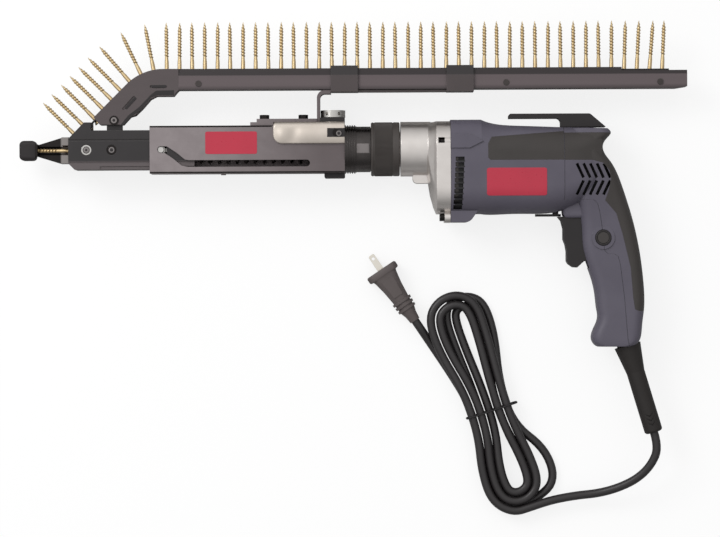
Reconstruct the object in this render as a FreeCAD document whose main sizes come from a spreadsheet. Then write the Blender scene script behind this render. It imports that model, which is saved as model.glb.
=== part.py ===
"""Collated-feed drywall screwdriver, lying on its side, as a parametric document.

Built in the tool's own frame: the drive axis is X (the nose points to -X), the handle hangs towards -Y,
and Z = 0 is the middle plane. X = 0 is the front of the gear case. At the end every piece is moved so that
the origin lies under the middle of the tool, on the surface that the tool rests on.
"""
import FreeCAD, Part
import math
import os
from FreeCAD import Placement, Rotation, Vector

doc = FreeCAD.newDocument("drywall_screwdriver")
dims = doc.addObject("Spreadsheet::Sheet", "dims")
place = doc.addObject("Spreadsheet::Sheet", "place")

SIZES = {
    # Clearances: how far a cut runs past a face, and the gaps of moving, seated and turning pieces.
    "overrun": 2,
    "running_gap": 0.4,
    "seat_gap": 0.1,
    "shaft_gap": 0.05,
    # Gear case: round nose, domed flange and the stub that carries the feed attachment.
    "gear_nose_radius": 27.3,
    "gear_nose_length": 26,
    "gear_flange_start": 35.5,
    "gear_case_length": 49.4,
    "gear_wall": 4,
    "gear_lug_length": 14,
    "gear_lug_drop": 34.5,
    "gear_lug_width": 16,
    "stub_radius": 17.5,
    "stub_length": 24,
    # Screws that hold the gear case on the motor housing.
    "case_screw_radius": 2,
    "case_screw_head_radius": 3.6,
    "case_screw_head_height": 4.2,
    "case_boss_radius": 5.4,
    "case_boss_length": 6,
    "side_screw_level": 6.5,
    "side_screw_spread": 29,
    "foot_screw_drop": 68.3,
    "foot_screw_spread": 16,
    # Motor housing: barrel sections, shell wall, joint lines.
    "barrel_rise": 28.8,
    "barrel_rise_middle": 22.8,
    "barrel_rise_rear": 21,
    "barrel_drop": 65.2,
    "barrel_drop_rear": 62,
    "barrel_half_width": 34.5,
    "barrel_corner": 26,
    "shell_wall": 3.2,
    "joint_gap": 0.25,
    "shoulder_distance": 80,
    "slope_end_distance": 111,
    "cover_joint_distance": 162,
    "handle_drop": 198,
    "handle_reach": 242.6,
    "foot_boss_length": 27,
    "foot_boss_depth": 8.2,
    "foot_boss_half_width": 22,
    "side_rib_length": 32,
    "side_rib_height": 13.4,
    "side_rib_proud": 1.4,
    "front_vent_start": 54.3,
    "front_vent_width": 8.6,
    "front_vent_slot": 4.1,
    "front_vent_pitch": 5.3,
    "front_vent_top": 9,
    "front_vent_lean": 0.27,
    "notch_start": 54.6,
    "notch_width": 5,
    "notch_depth": 2,
    "notch_half_width": 12,
    "rear_vent_slot": 2.8,
    "rear_vent_length": 15.5,
    "rear_vent_pitch": 6.7,
    "rear_vent_start": 177.5,
    "rear_vent_level": 31.5,
    "vent_depth": 22,
    "grip_thickness": 1.6,
    # Motor and gears.
    "motor_offset": 20,
    "gear_module": 0.8,
    "gear_width": 12,
    "gear_start": 31,
    "pinion_width": 13,
    "gear_backlash": 0.3,
    "plate_thickness": 7,
    "plate_start": 50,
    "front_bearing_radius": 13,
    "front_bearing_width": 8,
    "front_bearing_start": 3,
    "spindle_journal": 7.5,
    "spindle_shoulder": 9,
    "spindle_radius": 6.35,
    "spindle_reach": 125,
    "spindle_tail": 5,
    "spindle_tail_bearing": 8,
    "motor_journal": 5,
    "motor_front_bearing": 11,
    "motor_rear_journal": 4,
    "motor_rear_bearing": 9.5,
    "motor_bearing_width": 7,
    "motor_rear_start": 142,
    "rear_wall_thickness": 9,
    "fan_start": 59.5,
    "fan_radius": 28,
    "fan_width": 10.5,
    "fan_plate": 2,
    "fan_blade": 1.6,
    "fan_hub": 12,
    "core_start": 80,
    "core_length": 38,
    "core_radius": 30.9,
    "core_bore": 17.9,
    "core_rib": 4,
    "armature_radius": 17.2,
    "armature_slot": 3.2,
    "coil_width": 24,
    "coil_height": 6.5,
    "coil_level": 22.5,
    "coil_overhang": 5,
    "winding_radius": 14.5,
    "winding_length": 6.2,
    "commutator_radius": 11.5,
    "commutator_start": 125,
    "commutator_length": 14,
    "brush_width": 7,
    "brush_length": 12,
    "brush_holder_wall": 1.6,
    "brush_holder_start": 14,
    # Trigger, switch, lock button, reverse lever, belt hook and strain relief.
    "trigger_half_width": 10.5,
    "trigger_travel": 6,
    "trigger_top": 68.4,
    "trigger_bottom": 119.1,
    "trigger_front": 156.6,
    "trigger_back": 188,
    "switch_start": 195.5,
    "switch_length": 26,
    "switch_top": 70,
    "switch_height": 42,
    "switch_half_width": 8.5,
    "switch_rib": 3,
    "lock_x": 201,
    "lock_drop": 89.5,
    "lock_radius": 7.7,
    "lock_ring_radius": 11.6,
    "lock_base": 12,
    "lock_foot": 14.2,
    "lock_top": 19.6,
    "lock_ring_top": 18.9,
    "lever_front": 134.3,
    "lever_back": 160,
    "lever_pivot": 154.6,
    "lever_height": 2.4,
    "lever_width": 7.6,
    "lever_pin_radius": 3,
    "hook_front": 108,
    "hook_back": 204.6,
    "hook_top": 34.6,
    "hook_arm": 4.6,
    "hook_base_start": 160,
    "hook_slope_start": 189,
    "hook_half_width": 9.5,
    "hook_screw_radius": 2.2,
    "hook_screw_head": 4.2,
    "hook_screw_head_height": 3,
    "strain_x": 225.2,
    "strain_drop": 194.1,
    "strain_lean": 16.7,
    "strain_length": 91,
    "strain_boot_radius": 13.4,
    "strain_boot_length": 6,
    "strain_taper_length": 22,
    "strain_tube_radius": 9.1,
    "strain_root_radius": 10.5,
    "strain_root_length": 9,
    "chevron_pitch": 4.4,
    "chevron_arm": 7.5,
    "chevron_width": 1.1,
    "chevron_depth": 1.2,
    # Depth collar and threaded adapter.
    "collar_gap": 0.9,
    "collar_length": 28.6,
    "collar_radius": 27.4,
    "adapter_neck": 14.5,
    "adapter_thread_length": 11.5,
    "adapter_radius": 24.2,
    "adapter_neck_radius": 22.8,
    "adapter_sleeve_radius": 21.6,
    "adapter_bore": 9.5,
    "thread_pitch": 2.3,
    "thread_depth": 1,
    "wrench_flat_depth": 0.6,
    # Feed housing.
    "housing_length": 194,
    "housing_half_height": 23.7,
    "housing_half_width": 20,
    "housing_wall": 2,
    "housing_corner": 2,
    "slot_width": 6.6,
    "slot_drop": 14,
    "slot_length": 145,
    "slot_lead": 11,
    "post_slot_length": 33,
    "rear_block_length": 20.5,
    "nub_distance": 177,
    "nub_radius": 2.4,
    "nub_height": 1.4,
    "foot_length": 20.5,
    "foot_height": 5.1,
    "foot_half_width": 12,
    # Saddle, plates and the parts that carry the rail.
    "saddle_length": 71,
    "saddle_drop": 18.2,
    "saddle_thickness": 3.3,
    "saddle_corner": 5,
    "clip_length": 17.4,
    "clip_height": 8.8,
    "clip_thickness": 2,
    "clip_level": 16,
    "clip_screw_radius": 3.4,
    "clip_screw_height": 1.2,
    "plate_length": 60,
    "top_plate_thickness": 3.3,
    "top_plate_half_width": 14,
    "spacer_length": 23,
    "bolt_radius": 4.8,
    "bolt_height": 4.4,
    "bolt_shank_radius": 2.5,
    "bolt_inset": 7.4,
    "bolt_spacing": 38.8,
    "base_length": 24.5,
    "base_thickness": 4.4,
    "base_half_width": 12,
    "nut_radius": 12.3,
    "nut_height": 7,
    "nut_stud_radius": 4,
    "nut_hole_radius": 1.5,
    "nut_hole_depth": 6,
    "bracket_thickness": 3.2,
    "bracket_half_width": 9,
    "bracket_round": 8,
    "bracket_lip": 1.8,
    # Guide rail, its carrier and the angled front guide.
    "rail_bottom": 59.6,
    "rail_height": 21.2,
    "rail_half_width": 10.5,
    "rail_shoulder": 14,
    "rail_top_half_width": 8.4,
    "rail_wall": 1.7,
    "rail_slot_half_width": 3.4,
    "rail_start": 221,
    "rail_end": 286,
    "rail_lip_end": 220.8,
    "rail_end_taper": 11,
    "sleeve_wall": 2.1,
    "sleeve_length": 27,
    "sleeve_spacing": 115.4,
    "link_half_width": 8,
    "guide_half_width": 10.5,
    "guide_lip": 2.2,
    "guide_slot_half_width": 3.4,
    "guide_run": 85,
    "guide_rise": 54.2,
    "guide_foot_level": 25.4,
    "guide_recess_width": 3,
    "guide_recess_depth": 1.2,
    "rail_screw_radius": 3,
    "rail_screw_height": 0.9,
    "pivot_screw_radius": 4.6,
    "pivot_shank_radius": 2.5,
    # Screw strip and screws.
    "strip_pitch": 12.7,
    "strip_lag": 2.2,
    "strip_thickness": 1.3,
    "strip_half_width": 4.6,
    "strip_depth": 2.2,
    "strip_offset": 335.5,
    "strip_bend": 50,
    "screw_length": 53.5,
    "screw_head_radius": 4.1,
    "screw_head_length": 4.2,
    "screw_radius": 2.1,
    "screw_point": 7,
    # Nose and slide body.
    "nose_tip": 380,
    "bumper_length": 16,
    "bumper_half_height": 10,
    "bumper_half_width": 9,
    "bumper_corner": 4,
    "bumper_round": 4.5,
    "nose_fork_length": 35,
    "nose_fork_front": 5.5,
    "nose_fork_back": 13,
    "nose_bore": 4.9,
    "nose_window_length": 24,
    "tab_length": 50,
    "tab_half_height": 8,
    "tab_thickness": 2.2,
    "slide_length": 125.6,
    "slide_front": 330.6,
    "slide_half_height": 19.5,
    "slide_half_width": 17.6,
    "slide_wall": 4.6,
    "slide_skin": 1.9,
    "slide_rear_wall": 8,
    "slide_ear_top": 27.5,
    "groove_depth": 0.8,
    "groove_width": 1.6,
    "groove_level": 9,
    "groove_drop": 13.4,
    "step_start": 31.6,
    "step_rise": 3,
    "post_start": 37.6,
    "post_length": 15,
    "post_top": 33.5,
    "post_half_width": 7,
    "axle_radius": 3,
    "axle_head_radius": 5,
    "axle_head_height": 2.4,
    "socket_radius": 2.4,
    "socket_depth": 1.6,
    "sprocket_tooth_height": 1.1,
    "sprocket_tooth_width": 2.6,
    "sprocket_thickness": 2.4,
    "sprocket_inset": 5,
    "lever_arm": 49,
    "feed_lever_width": 8,
    "feed_lever_thickness": 2,
    "cam_pin_radius": 2.9,
    "stroke": 58,
    # Return spring and drive bit.
    "spring_radius": 13,
    "spring_wire": 2.4,
    "bit_flats": 6.35,
    "bit_grip": 20,
    "bit_tip_radius": 1.6,
    "bit_tip_length": 2.2,
    # Cord, tie and plug.
    "cord_diameter": 8.5,
    "hank_step": 9.2,
    "hank_waist": 2.3,
    "hank_fold": 9.5,
    "hank_top": 106,
    "hank_bottom": 84,
    "hank_fan": 5,
    "hank_loose": 15,
    "hank_layer": 9.2,
    "hank_lift": 2.3,
    "tie_wire": 1.8,
    "plug_face_width": 34,
    "plug_face_height": 24,
    "plug_flange": 7,
    "plug_length": 62,
    "plug_neck_radius": 9,
    "plug_tail_radius": 5.4,
    "plug_corner": 7,
    "blade_length": 17.5,
    "blade_width": 6.6,
    "blade_thickness": 1.5,
    "blade_spacing": 12.7,
    "blade_hole": 1.6,
}

# Counts that are not lengths.
SCREW_COUNT = 49
SPROCKET_TEETH = 8
PINION_TEETH = 10
GEAR_TEETH = 40
PINION_SHIFT = 0.42
FAN_BLADES = 12
ARMATURE_SLOTS = 12
FRONT_VENTS = 10
REAR_VENTS = 5
CHEVRONS = 3
SPRING_TURNS = 14
HANK_TURNS = 4
NUT_HOLES = 6

# Where the tool's drive axis lies in the photograph, for the cord's route (pixels, one millimetre each).
DRIVE_PIXEL = (401, 149.5)


class Size:
    """A length together with the sheet expression that gives it, so that features can be bound to it."""

    def __init__(self, text, value):
        self.text = text
        self.value = value

    def __float__(self):
        return self.value

    def __neg__(self):
        return Size(f"-({self.text})", -self.value)

    def __add__(self, other):
        other = as_size(other)
        return Size(f"({self.text} + {other.text})", self.value + other.value)

    def __radd__(self, other):
        return as_size(other) + self

    def __sub__(self, other):
        other = as_size(other)
        return Size(f"({self.text} - ({other.text}))", self.value - other.value)

    def __rsub__(self, other):
        return as_size(other) - self

    def __mul__(self, other):
        other = as_size(other)
        return Size(f"({self.text} * ({other.text}))", self.value * other.value)

    def __rmul__(self, other):
        return as_size(other) * self

    def __truediv__(self, other):
        other = as_size(other)
        return Size(f"({self.text} / {other.text})", self.value / other.value)


def as_size(value):
    if isinstance(value, Size):
        return value
    return Size(f"{float(value):.9f}", float(value))


for row, (size_name, size_value) in enumerate(SIZES.items(), 1):
    dims.set(f"A{row}", size_name)
    dims.set(f"B{row}", str(size_value))
    dims.setAlias(f"B{row}", size_name)
doc.recompute()


class Sheet:
    """Reads a size by its name: d.collar_length."""

    def __getattr__(self, name):
        return Size(f"dims.{name}", float(dims.get(name)))


d = Sheet()


# Building blocks

TURN_TO_X = Rotation(Vector(0, 1, 0), 90)
TURN_TO_Y = Rotation(Vector(1, 0, 0), -90)
TURNS = {"X": TURN_TO_X, "Y": TURN_TO_Y, "Z": Rotation()}


def bind(obj, name, value):
    obj.setExpression(name, as_size(value).text)


def put(obj, x=0, y=0, z=0, turn=None):
    if turn is not None:
        obj.Placement = Placement(Vector(), turn)
    for axis, value in zip("xyz", (x, y, z)):
        bind(obj, f"Placement.Base.{axis}", value)
    return obj


def box(x0, x1, y0, y1, z0, z1):
    made = doc.addObject("Part::Box", "block")
    bind(made, "Length", x1 - as_size(x0))
    bind(made, "Width", y1 - as_size(y0))
    bind(made, "Height", z1 - as_size(z0))
    return put(made, x0, y0, z0)


def cylinder(radius, length, x=0, y=0, z=0, axis="X"):
    made = doc.addObject("Part::Cylinder", "round")
    bind(made, "Radius", radius)
    bind(made, "Height", length)
    return put(made, x, y, z, TURNS[axis])


def ring(radius, bore, length, x=0, y=0, z=0, axis="X"):
    return cut(cylinder(radius, length, x, y, z, axis), cylinder(bore, length, x, y, z, axis))


def fuse(*objects):
    if len(objects) == 1:
        return objects[0]
    made = doc.addObject("Part::MultiFuse", "joined")
    made.Shapes = list(objects)
    return made


def cut(base, *tools):
    made = doc.addObject("Part::Cut", "trimmed")
    made.Base = base
    made.Tool = fuse(*tools)
    return made


def common(base, tool):
    made = doc.addObject("Part::Common", "kept")
    made.Base = base
    made.Tool = tool
    return made


def feature(shape):
    made = doc.addObject("Part::Feature", "formed")
    made.Shape = shape
    return made


def group(*objects):
    made = doc.addObject("Part::Compound", "group")
    made.Links = list(objects)
    return made


def corner_edges(points):
    """Lines between points (x, y) or (x, y, radius); a point with a radius becomes a tangent arc."""
    corners = []
    count = len(points)
    for index, point in enumerate(points):
        here = Vector(point[0], point[1], 0)
        if len(point) < 3:
            corners.append((here, None, here))
            continue
        before = Vector(points[index - 1][0], points[index - 1][1], 0) - here
        after = Vector(points[(index + 1) % count][0], points[(index + 1) % count][1], 0) - here
        before.normalize()
        after.normalize()
        half_turn = before.getAngle(after) / 2
        reach = float(point[2]) / math.tan(half_turn)
        inward = before + after
        inward.normalize()
        middle = here + inward * (float(point[2]) / math.sin(half_turn) - float(point[2]))
        corners.append((here + before * reach, middle, here + after * reach))
    edges = []
    for index, (start, middle, end) in enumerate(corners):
        if middle is not None:
            edges.append(Part.Arc(start, middle, end))
        following = corners[(index + 1) % count][0]
        if (following - end).Length > 1e-6:
            edges.append(Part.LineSegment(end, following))
    return edges


def padded(points, start, end, plane="XY_Plane"):
    """A body padded from a closed outline, between two levels along the plane's normal."""
    body = doc.addObject("PartDesign::Body", "body")
    sketch = body.newObject("Sketcher::SketchObject", "outline")
    sketch.AttachmentSupport = [(o, "") for o in body.Origin.OriginFeatures if o.Role == plane]
    sketch.MapMode = "FlatFace"
    bind(sketch, "AttachmentOffset.Base.z", start)
    sketch.addGeometry(corner_edges(points), False)
    pad = body.newObject("PartDesign::Pad", "pad")
    pad.Profile = sketch
    bind(pad, "Length", end - as_size(start))
    return body


def turned(points):
    """A body of revolution about X from a closed outline of (x, radius) points."""
    body = doc.addObject("PartDesign::Body", "body")
    sketch = body.newObject("Sketcher::SketchObject", "profile")
    sketch.AttachmentSupport = [(o, "") for o in body.Origin.OriginFeatures if o.Role == "XY_Plane"]
    sketch.MapMode = "FlatFace"
    sketch.addGeometry(corner_edges(points), False)
    spin = body.newObject("PartDesign::Revolution", "spin")
    spin.Profile = sketch
    spin.ReferenceAxis = (sketch, ["H_Axis"])
    spin.Angle = 360
    return body


pieces = {}
cord_pieces = []


def piece(label, obj, x=0, y=0, z=0, turn=None, cord=False):
    """Names a finished sub-part; its place in the tool's frame is kept until the origin is known."""
    if obj.TypeId != "Part::Compound":
        obj = group(obj)
    obj.Label = label
    pieces[label] = (obj, (as_size(x), as_size(y), as_size(z)), turn)
    if cord:
        cord_pieces.append(label)
    return obj


def mirrored_box(x0, x1, y0, y1, z0, z1):
    """The same block on both sides of the middle plane."""
    return fuse(box(x0, x1, y0, y1, z0, z1), box(x0, x1, y0, y1, -z1, -z0))


# Stations along the drive axis

collar_front = -(d.collar_gap + d.collar_length)
adapter_front = collar_front - d.adapter_neck - d.adapter_thread_length
housing_back = adapter_front
housing_front = housing_back - d.housing_length
motor_y = -d.motor_offset


# Casing: rounded sections of the barrel and the handle

def section_x(x, top, bottom, half, corner):
    """Rounded rectangle across X."""
    points = [(top, -half, corner), (top, half, corner), (bottom, half, corner), (bottom, -half, corner)]
    edges = [edge.toShape() for edge in corner_edges(points)]
    wire = Part.Wire(edges)
    # The outline is drawn in (x, y) and turned so that these become (y, z).
    wire.Placement = Placement(Vector(x, 0, 0), Rotation(Vector(1, 1, 1), 120))
    return wire


def section_y(y, front, back, half, corner):
    """Rounded rectangle across Y."""
    points = [(front, -half, corner), (back, -half, corner), (back, half, corner), (front, half, corner)]
    edges = [edge.toShape() for edge in corner_edges(points)]
    wire = Part.Wire(edges)
    wire.Placement = Placement(Vector(0, y, 0), Rotation(Vector(1, 0, 0), 90))
    return wire


housing_start = d.gear_case_length + d.joint_gap

# Shares of (handle_drop, handle_reach, handle_reach, barrel_half_width, barrel_half_width):
# level below the drive axis, front edge, back edge, half width, corner radius.
handle_section_shares = [
    (-0.098, 0.701, 0.851, 0.64, 0.32),
    (-0.062, 0.692, 0.857, 0.75, 0.36),
    (-0.020, 0.684, 0.831, 0.82, 0.38),
    (0.025, 0.684, 0.835, 0.84, 0.38),
    (0.111, 0.692, 0.881, 0.80, 0.38),
    (0.212, 0.709, 0.914, 0.70, 0.36),
    (0.313, 0.732, 0.941, 0.60, 0.33),
    (0.434, 0.742, 0.967, 0.535, 0.31),
    (0.600, 0.768, 0.990, 0.50, 0.30),
    (0.684, 0.790, 0.997, 0.49, 0.30),
    (0.758, 0.800, 1.000, 0.49, 0.30),
    (0.861, 0.808, 0.993, 0.51, 0.30),
    (0.930, 0.786, 0.987, 0.535, 0.30),
    (0.965, 0.784, 0.980, 0.535, 0.28),
    (1.000, 0.806, 0.945, 0.50, 0.27),
]
# Half width of the barrel where its slope ends, behind that and at the cover's joint: shares of
# barrel_half_width.
barrel_side_shares = (0.993, 0.977, 0.945)
# Where the barrel runs into the handle: shares of (handle_reach, barrel_rise_rear, barrel_drop_rear,
# barrel_half_width, barrel_half_width).
barrel_tail_shares = [(0.758, 0.976, 0.806, 0.870, 0.58), (0.824, 0.929, 0.548, 0.754, 0.52)]


def casing_solid(inset):
    """Barrel and handle as one closed form, drawn in by the inset."""
    start = float(housing_start) - (float(d.overrun) if inset else 0)
    inset = float(inset)

    def barrel(x, rise, drop, half, corner):
        return section_x(x, float(rise) - inset, -(float(drop) - inset), float(half) - inset, corner - inset)

    corner = float(d.barrel_corner)
    half = float(d.barrel_half_width)
    front = barrel(start, d.barrel_rise, d.barrel_drop, half, corner)
    shoulder = barrel(float(d.shoulder_distance), d.barrel_rise, d.barrel_drop, half, corner)
    slope_end = float(d.slope_end_distance)
    joint = float(d.cover_joint_distance)
    rows = [shoulder]
    middle = (slope_end + joint) / 2
    middle_rise = (d.barrel_rise_middle + d.barrel_rise_rear) / 2
    sides = [half * share for share in barrel_side_shares]
    rows.append(barrel(slope_end, d.barrel_rise_middle, d.barrel_drop, sides[0], corner))
    rows.append(barrel(middle, middle_rise, d.barrel_drop, sides[1], corner))
    rows.append(barrel(joint, d.barrel_rise_rear, d.barrel_drop_rear, sides[2], corner))
    for reach, rise, drop, width, rounding in barrel_tail_shares:
        x = float(d.handle_reach) * reach - inset
        high = d.barrel_rise_rear * rise
        low = d.barrel_drop_rear * drop
        rows.append(barrel(x, high, low, half * width, half * rounding))
    straight = Part.makeLoft([front, shoulder], True, True)
    tail = Part.makeLoft(rows, True, False)
    levels = []
    last = len(handle_section_shares) - 1
    for index, (level, near, far, width, rounding) in enumerate(handle_section_shares):
        y = -float(d.handle_drop) * level
        y += -inset if index == 0 else inset if index == last else 0
        front_edge = float(d.handle_reach) * near + inset
        back_edge = float(d.handle_reach) * far - inset
        levels.append(section_y(y, front_edge, back_edge, half * width - inset, half * rounding - inset))
    handle = Part.makeLoft(levels, True, False)
    return feature(straight.fuse([tail, handle]).removeSplitter())


def casing_points(shares):
    """Outline on the casing's side: shares of (handle_reach, handle_drop)."""
    return [(float(d.handle_reach) * x, -float(d.handle_drop) * y) for x, y in shares]


# Joint line between motor housing and rear cover, then round the back of the tool.
cover_joint_shares = [
    (0.668, -0.25), (0.668, 0.261), (0.787, 0.261), (0.804, 0.280), (0.813, 0.318), (0.823, 0.394),
    (0.833, 0.515), (0.847, 0.533), (0.875, 0.536), (0.889, 0.546), (0.898, 0.587), (0.915, 0.755),
    (0.927, 0.957), (0.950, 1.10), (1.10, 1.10), (1.10, -0.25),
]
# Soft grip of the rear cover: band beside the vents and the strip down the back.
rear_grip_shares = [
    (0.660, -0.075), (0.660, 0.063), (0.783, 0.063), (0.828, 0.078), (0.853, 0.116), (0.859, 0.157),
    (0.851, 0.212), (0.836, 0.265), (0.882, 0.330), (0.908, 0.434), (0.941, 0.604), (0.951, 0.757),
    (0.958, 0.813), (0.974, 0.821), (1.10, 0.821), (1.10, -0.075),
]
# Soft panels on the sides of the motor housing.
side_grip_shares = [
    (0.356, -0.020), (0.371, -0.054), (0.6668, -0.083), (0.6668, 0.062), (0.365, 0.062), (0.356, 0.050),
]

deep = d.barrel_half_width + d.overrun
outer_form = casing_solid(0)
grip_form = casing_solid(d.grip_thickness)
inner_form = casing_solid(d.shell_wall)

# Ribs that stay inside the shell: stator seats, rear bearing wall and switch seats.
core_end = d.core_start + d.core_length
rear_wall_end = d.motor_rear_start + d.rear_wall_thickness


def slab_x(x0, x1):
    return box(x0, x1, -d.barrel_drop, d.barrel_rise, -deep, deep)


stator_ribs = fuse(
    slab_x(d.core_start, d.core_start + d.core_rib),
    slab_x(core_end - d.core_rib, core_end),
)
bearing_wall = slab_x(d.motor_rear_start - d.running_gap, rear_wall_end)
switch_end = d.switch_start + d.switch_length
switch_bottom = d.switch_top + d.switch_height


def switch_rib(top):
    return box(d.switch_start, switch_end + d.overrun, -(top + d.switch_rib), -top, -deep, deep)


switch_ribs = fuse(switch_rib(d.switch_top), switch_rib(switch_bottom - d.switch_rib))
stator_bore = cylinder(
    d.core_radius + d.seat_gap, core_end - d.core_start + d.overrun * 2, d.core_start - d.overrun, motor_y
)
bearing_bore = cylinder(
    d.motor_rear_bearing + d.seat_gap, d.motor_bearing_width + d.overrun, d.motor_rear_start - d.overrun,
    motor_y
)
switch_pocket = box(
    d.switch_start - d.seat_gap, switch_end + d.seat_gap, -(switch_bottom + d.seat_gap),
    -(d.switch_top - d.seat_gap),
    -(d.switch_half_width + d.seat_gap), d.switch_half_width + d.seat_gap,
)
hollow = fuse(
    cut(inner_form, stator_ribs, bearing_wall, switch_ribs), stator_bore, bearing_bore, switch_pocket
)

# Outside additions: foot boss for the lower screws, ribs behind the side screws, ring round the lock button.
foot_boss_end = housing_start + d.foot_boss_length
foot_boss_bottom = d.barrel_drop + d.foot_boss_depth
foot_boss = padded(
    [
        (housing_start, -(d.barrel_drop - d.shell_wall)),
        (housing_start, -foot_boss_bottom),
        (foot_boss_end - d.foot_boss_depth, -foot_boss_bottom, d.foot_boss_depth),
        (foot_boss_end, -(d.barrel_drop - d.shell_wall)),
    ],
    -d.foot_boss_half_width,
    d.foot_boss_half_width,
)
rib_low = d.side_screw_level - d.side_rib_height / 2
rib_high = d.side_screw_level + d.side_rib_height / 2


def side_rib(start, end, inner, outer):
    return padded(
        [
            (start, rib_low),
            (end - d.side_rib_height, rib_low),
            (end, d.side_screw_level),
            (end - d.side_rib_height, rib_high),
            (start, rib_high),
        ],
        inner,
        outer,
    )


rib_root = d.barrel_half_width - d.barrel_corner / 3
left_rib = side_rib(
    housing_start, housing_start + d.side_rib_length, rib_root, d.barrel_half_width + d.side_rib_proud
)
right_rib = side_rib(housing_start, housing_start + d.side_rib_length, -d.barrel_half_width, -rib_root)
lock_ring = cylinder(
    d.lock_ring_radius, d.lock_ring_top - d.lock_base - d.shell_wall / 2, d.lock_x, -d.lock_drop,
    d.lock_base + d.shell_wall / 2, "Z",
)

# Openings: vents, trigger slot, lock button bore, lever pin, cord entry, screw holes.
front_vents = [
    mirrored_box(
        d.front_vent_start - d.front_vent_lean * index,
        d.front_vent_start - d.front_vent_lean * index + d.front_vent_width,
        -(d.front_vent_top + d.front_vent_pitch * index + d.front_vent_slot),
        -(d.front_vent_top + d.front_vent_pitch * index),
        d.barrel_half_width - d.vent_depth, deep,
    )
    for index in range(FRONT_VENTS)
]
notch = padded(
    [
        (d.notch_start, d.barrel_rise + d.overrun),
        (d.notch_start + d.notch_width, d.barrel_rise + d.overrun),
        (d.notch_start + d.notch_width / 2, d.barrel_rise - d.notch_depth),
    ],
    -d.notch_half_width, d.notch_half_width,
)
vent_lean = 25
rear_vents = []
for index in range(REAR_VENTS):
    for row_side in (-1, 1):
        for side in (-1, 1):
            slot = doc.addObject("Part::Box", "vent")
            bind(slot, "Length", d.rear_vent_slot)
            bind(slot, "Width", d.rear_vent_length)
            bind(slot, "Height", d.vent_depth)
            lean = Rotation(Vector(0, 0, 1), row_side * vent_lean)
            corner = lean.multVec(Vector(-d.rear_vent_slot / 2, -d.rear_vent_length / 2, 0))
            lift = row_side * (
                d.rear_vent_length * math.cos(math.radians(vent_lean)) / 2 + d.rear_vent_slot / 2
            )
            put(
                slot, d.rear_vent_start + d.rear_vent_pitch * index + corner.x,
                -d.rear_vent_level + lift + corner.y,
                deep - d.vent_depth if side > 0 else -deep, lean,
            )
            rear_vents.append(slot)
trigger_slot_half = d.trigger_half_width + d.running_gap
trigger_slot = box(
    d.trigger_front, d.switch_start, -(d.trigger_bottom + d.running_gap), -(d.trigger_top - d.running_gap),
    -trigger_slot_half, trigger_slot_half,
)
lock_bore = cylinder(
    d.lock_radius + d.running_gap, deep - d.lock_base, d.lock_x, -d.lock_drop, d.lock_base, "Z"
)
lever_bore = cylinder(
    d.lever_pin_radius + d.shaft_gap, d.shell_wall * 3, d.lever_pivot, -d.barrel_drop, 0, "Y"
)
strain_turn = Rotation(Vector(0, 0, 1), float(d.strain_lean) - 90)
strain_axis = strain_turn.multVec(Vector(1, 0, 0))
strain_bore = put(
    cylinder(d.strain_root_radius + d.seat_gap, d.strain_root_length * 3),
    d.strain_x - d.strain_root_length * 2 * strain_axis.x,
    -d.strain_drop - d.strain_root_length * 2 * strain_axis.y,
    0, strain_turn * TURN_TO_X,
)
strain_x = d.strain_x + d.strain_root_length * strain_axis.x / 3
strain_y = -d.strain_drop + d.strain_root_length * strain_axis.y / 3
strain_seat = put(
    cylinder(d.strain_boot_radius + d.running_gap, d.strain_boot_length + d.overrun), strain_x, strain_y, 0,
    strain_turn * TURN_TO_X,
)
case_screw_places = [
    (d.side_screw_level, d.side_screw_spread), (d.side_screw_level, -d.side_screw_spread),
    (-d.foot_screw_drop, d.foot_screw_spread), (-d.foot_screw_drop, -d.foot_screw_spread),
]
case_screw_depth = d.foot_boss_length / 2
case_screw_holes = [
    cylinder(d.case_screw_radius + d.seat_gap, case_screw_depth + d.overrun, housing_start - d.overrun, y, z)
    for y, z in case_screw_places
]

# The grips lie in recesses: each region less the form drawn in by the grip's thickness.
rear_grip_room = cut(padded(casing_points(rear_grip_shares), -deep, deep), grip_form)
side_grip_room = cut(padded(casing_points(side_grip_shares), -deep, deep), grip_form)
cover_prism = padded(casing_points(cover_joint_shares), -deep, deep)
cover_keep = put(padded(casing_points(cover_joint_shares), -deep, deep), d.joint_gap)

casing = cut(fuse(outer_form, foot_boss, left_rib, right_rib, lock_ring), hollow)
piece("motor_housing", cut(
    casing, cover_prism, side_grip_room, trigger_slot, lock_bore, lever_bore, strain_bore, strain_seat,
    notch, *front_vents, *case_screw_holes,
))
piece("rear_cover", cut(
    common(casing, cover_keep), rear_grip_room, lock_bore, strain_bore, strain_seat, *rear_vents
))
piece("rear_grip", common(outer_form, common(rear_grip_room, cover_keep)))
piece("side_grips", common(outer_form, side_grip_room))


# Gear case

# Dome between nose and flange: shares of (flange start less nose length, barrel_rise, barrel_drop,
# barrel_half_width, barrel_corner).
dome_shares = [(0.0, 0.90, 0.40, 0.76, 0.97), (0.35, 0.91, 0.72, 0.84, 0.97), (0.7, 0.93, 0.90, 0.92, 0.97)]
flange_rise_share = 0.95
flange_rise = d.barrel_rise * flange_rise_share


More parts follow.
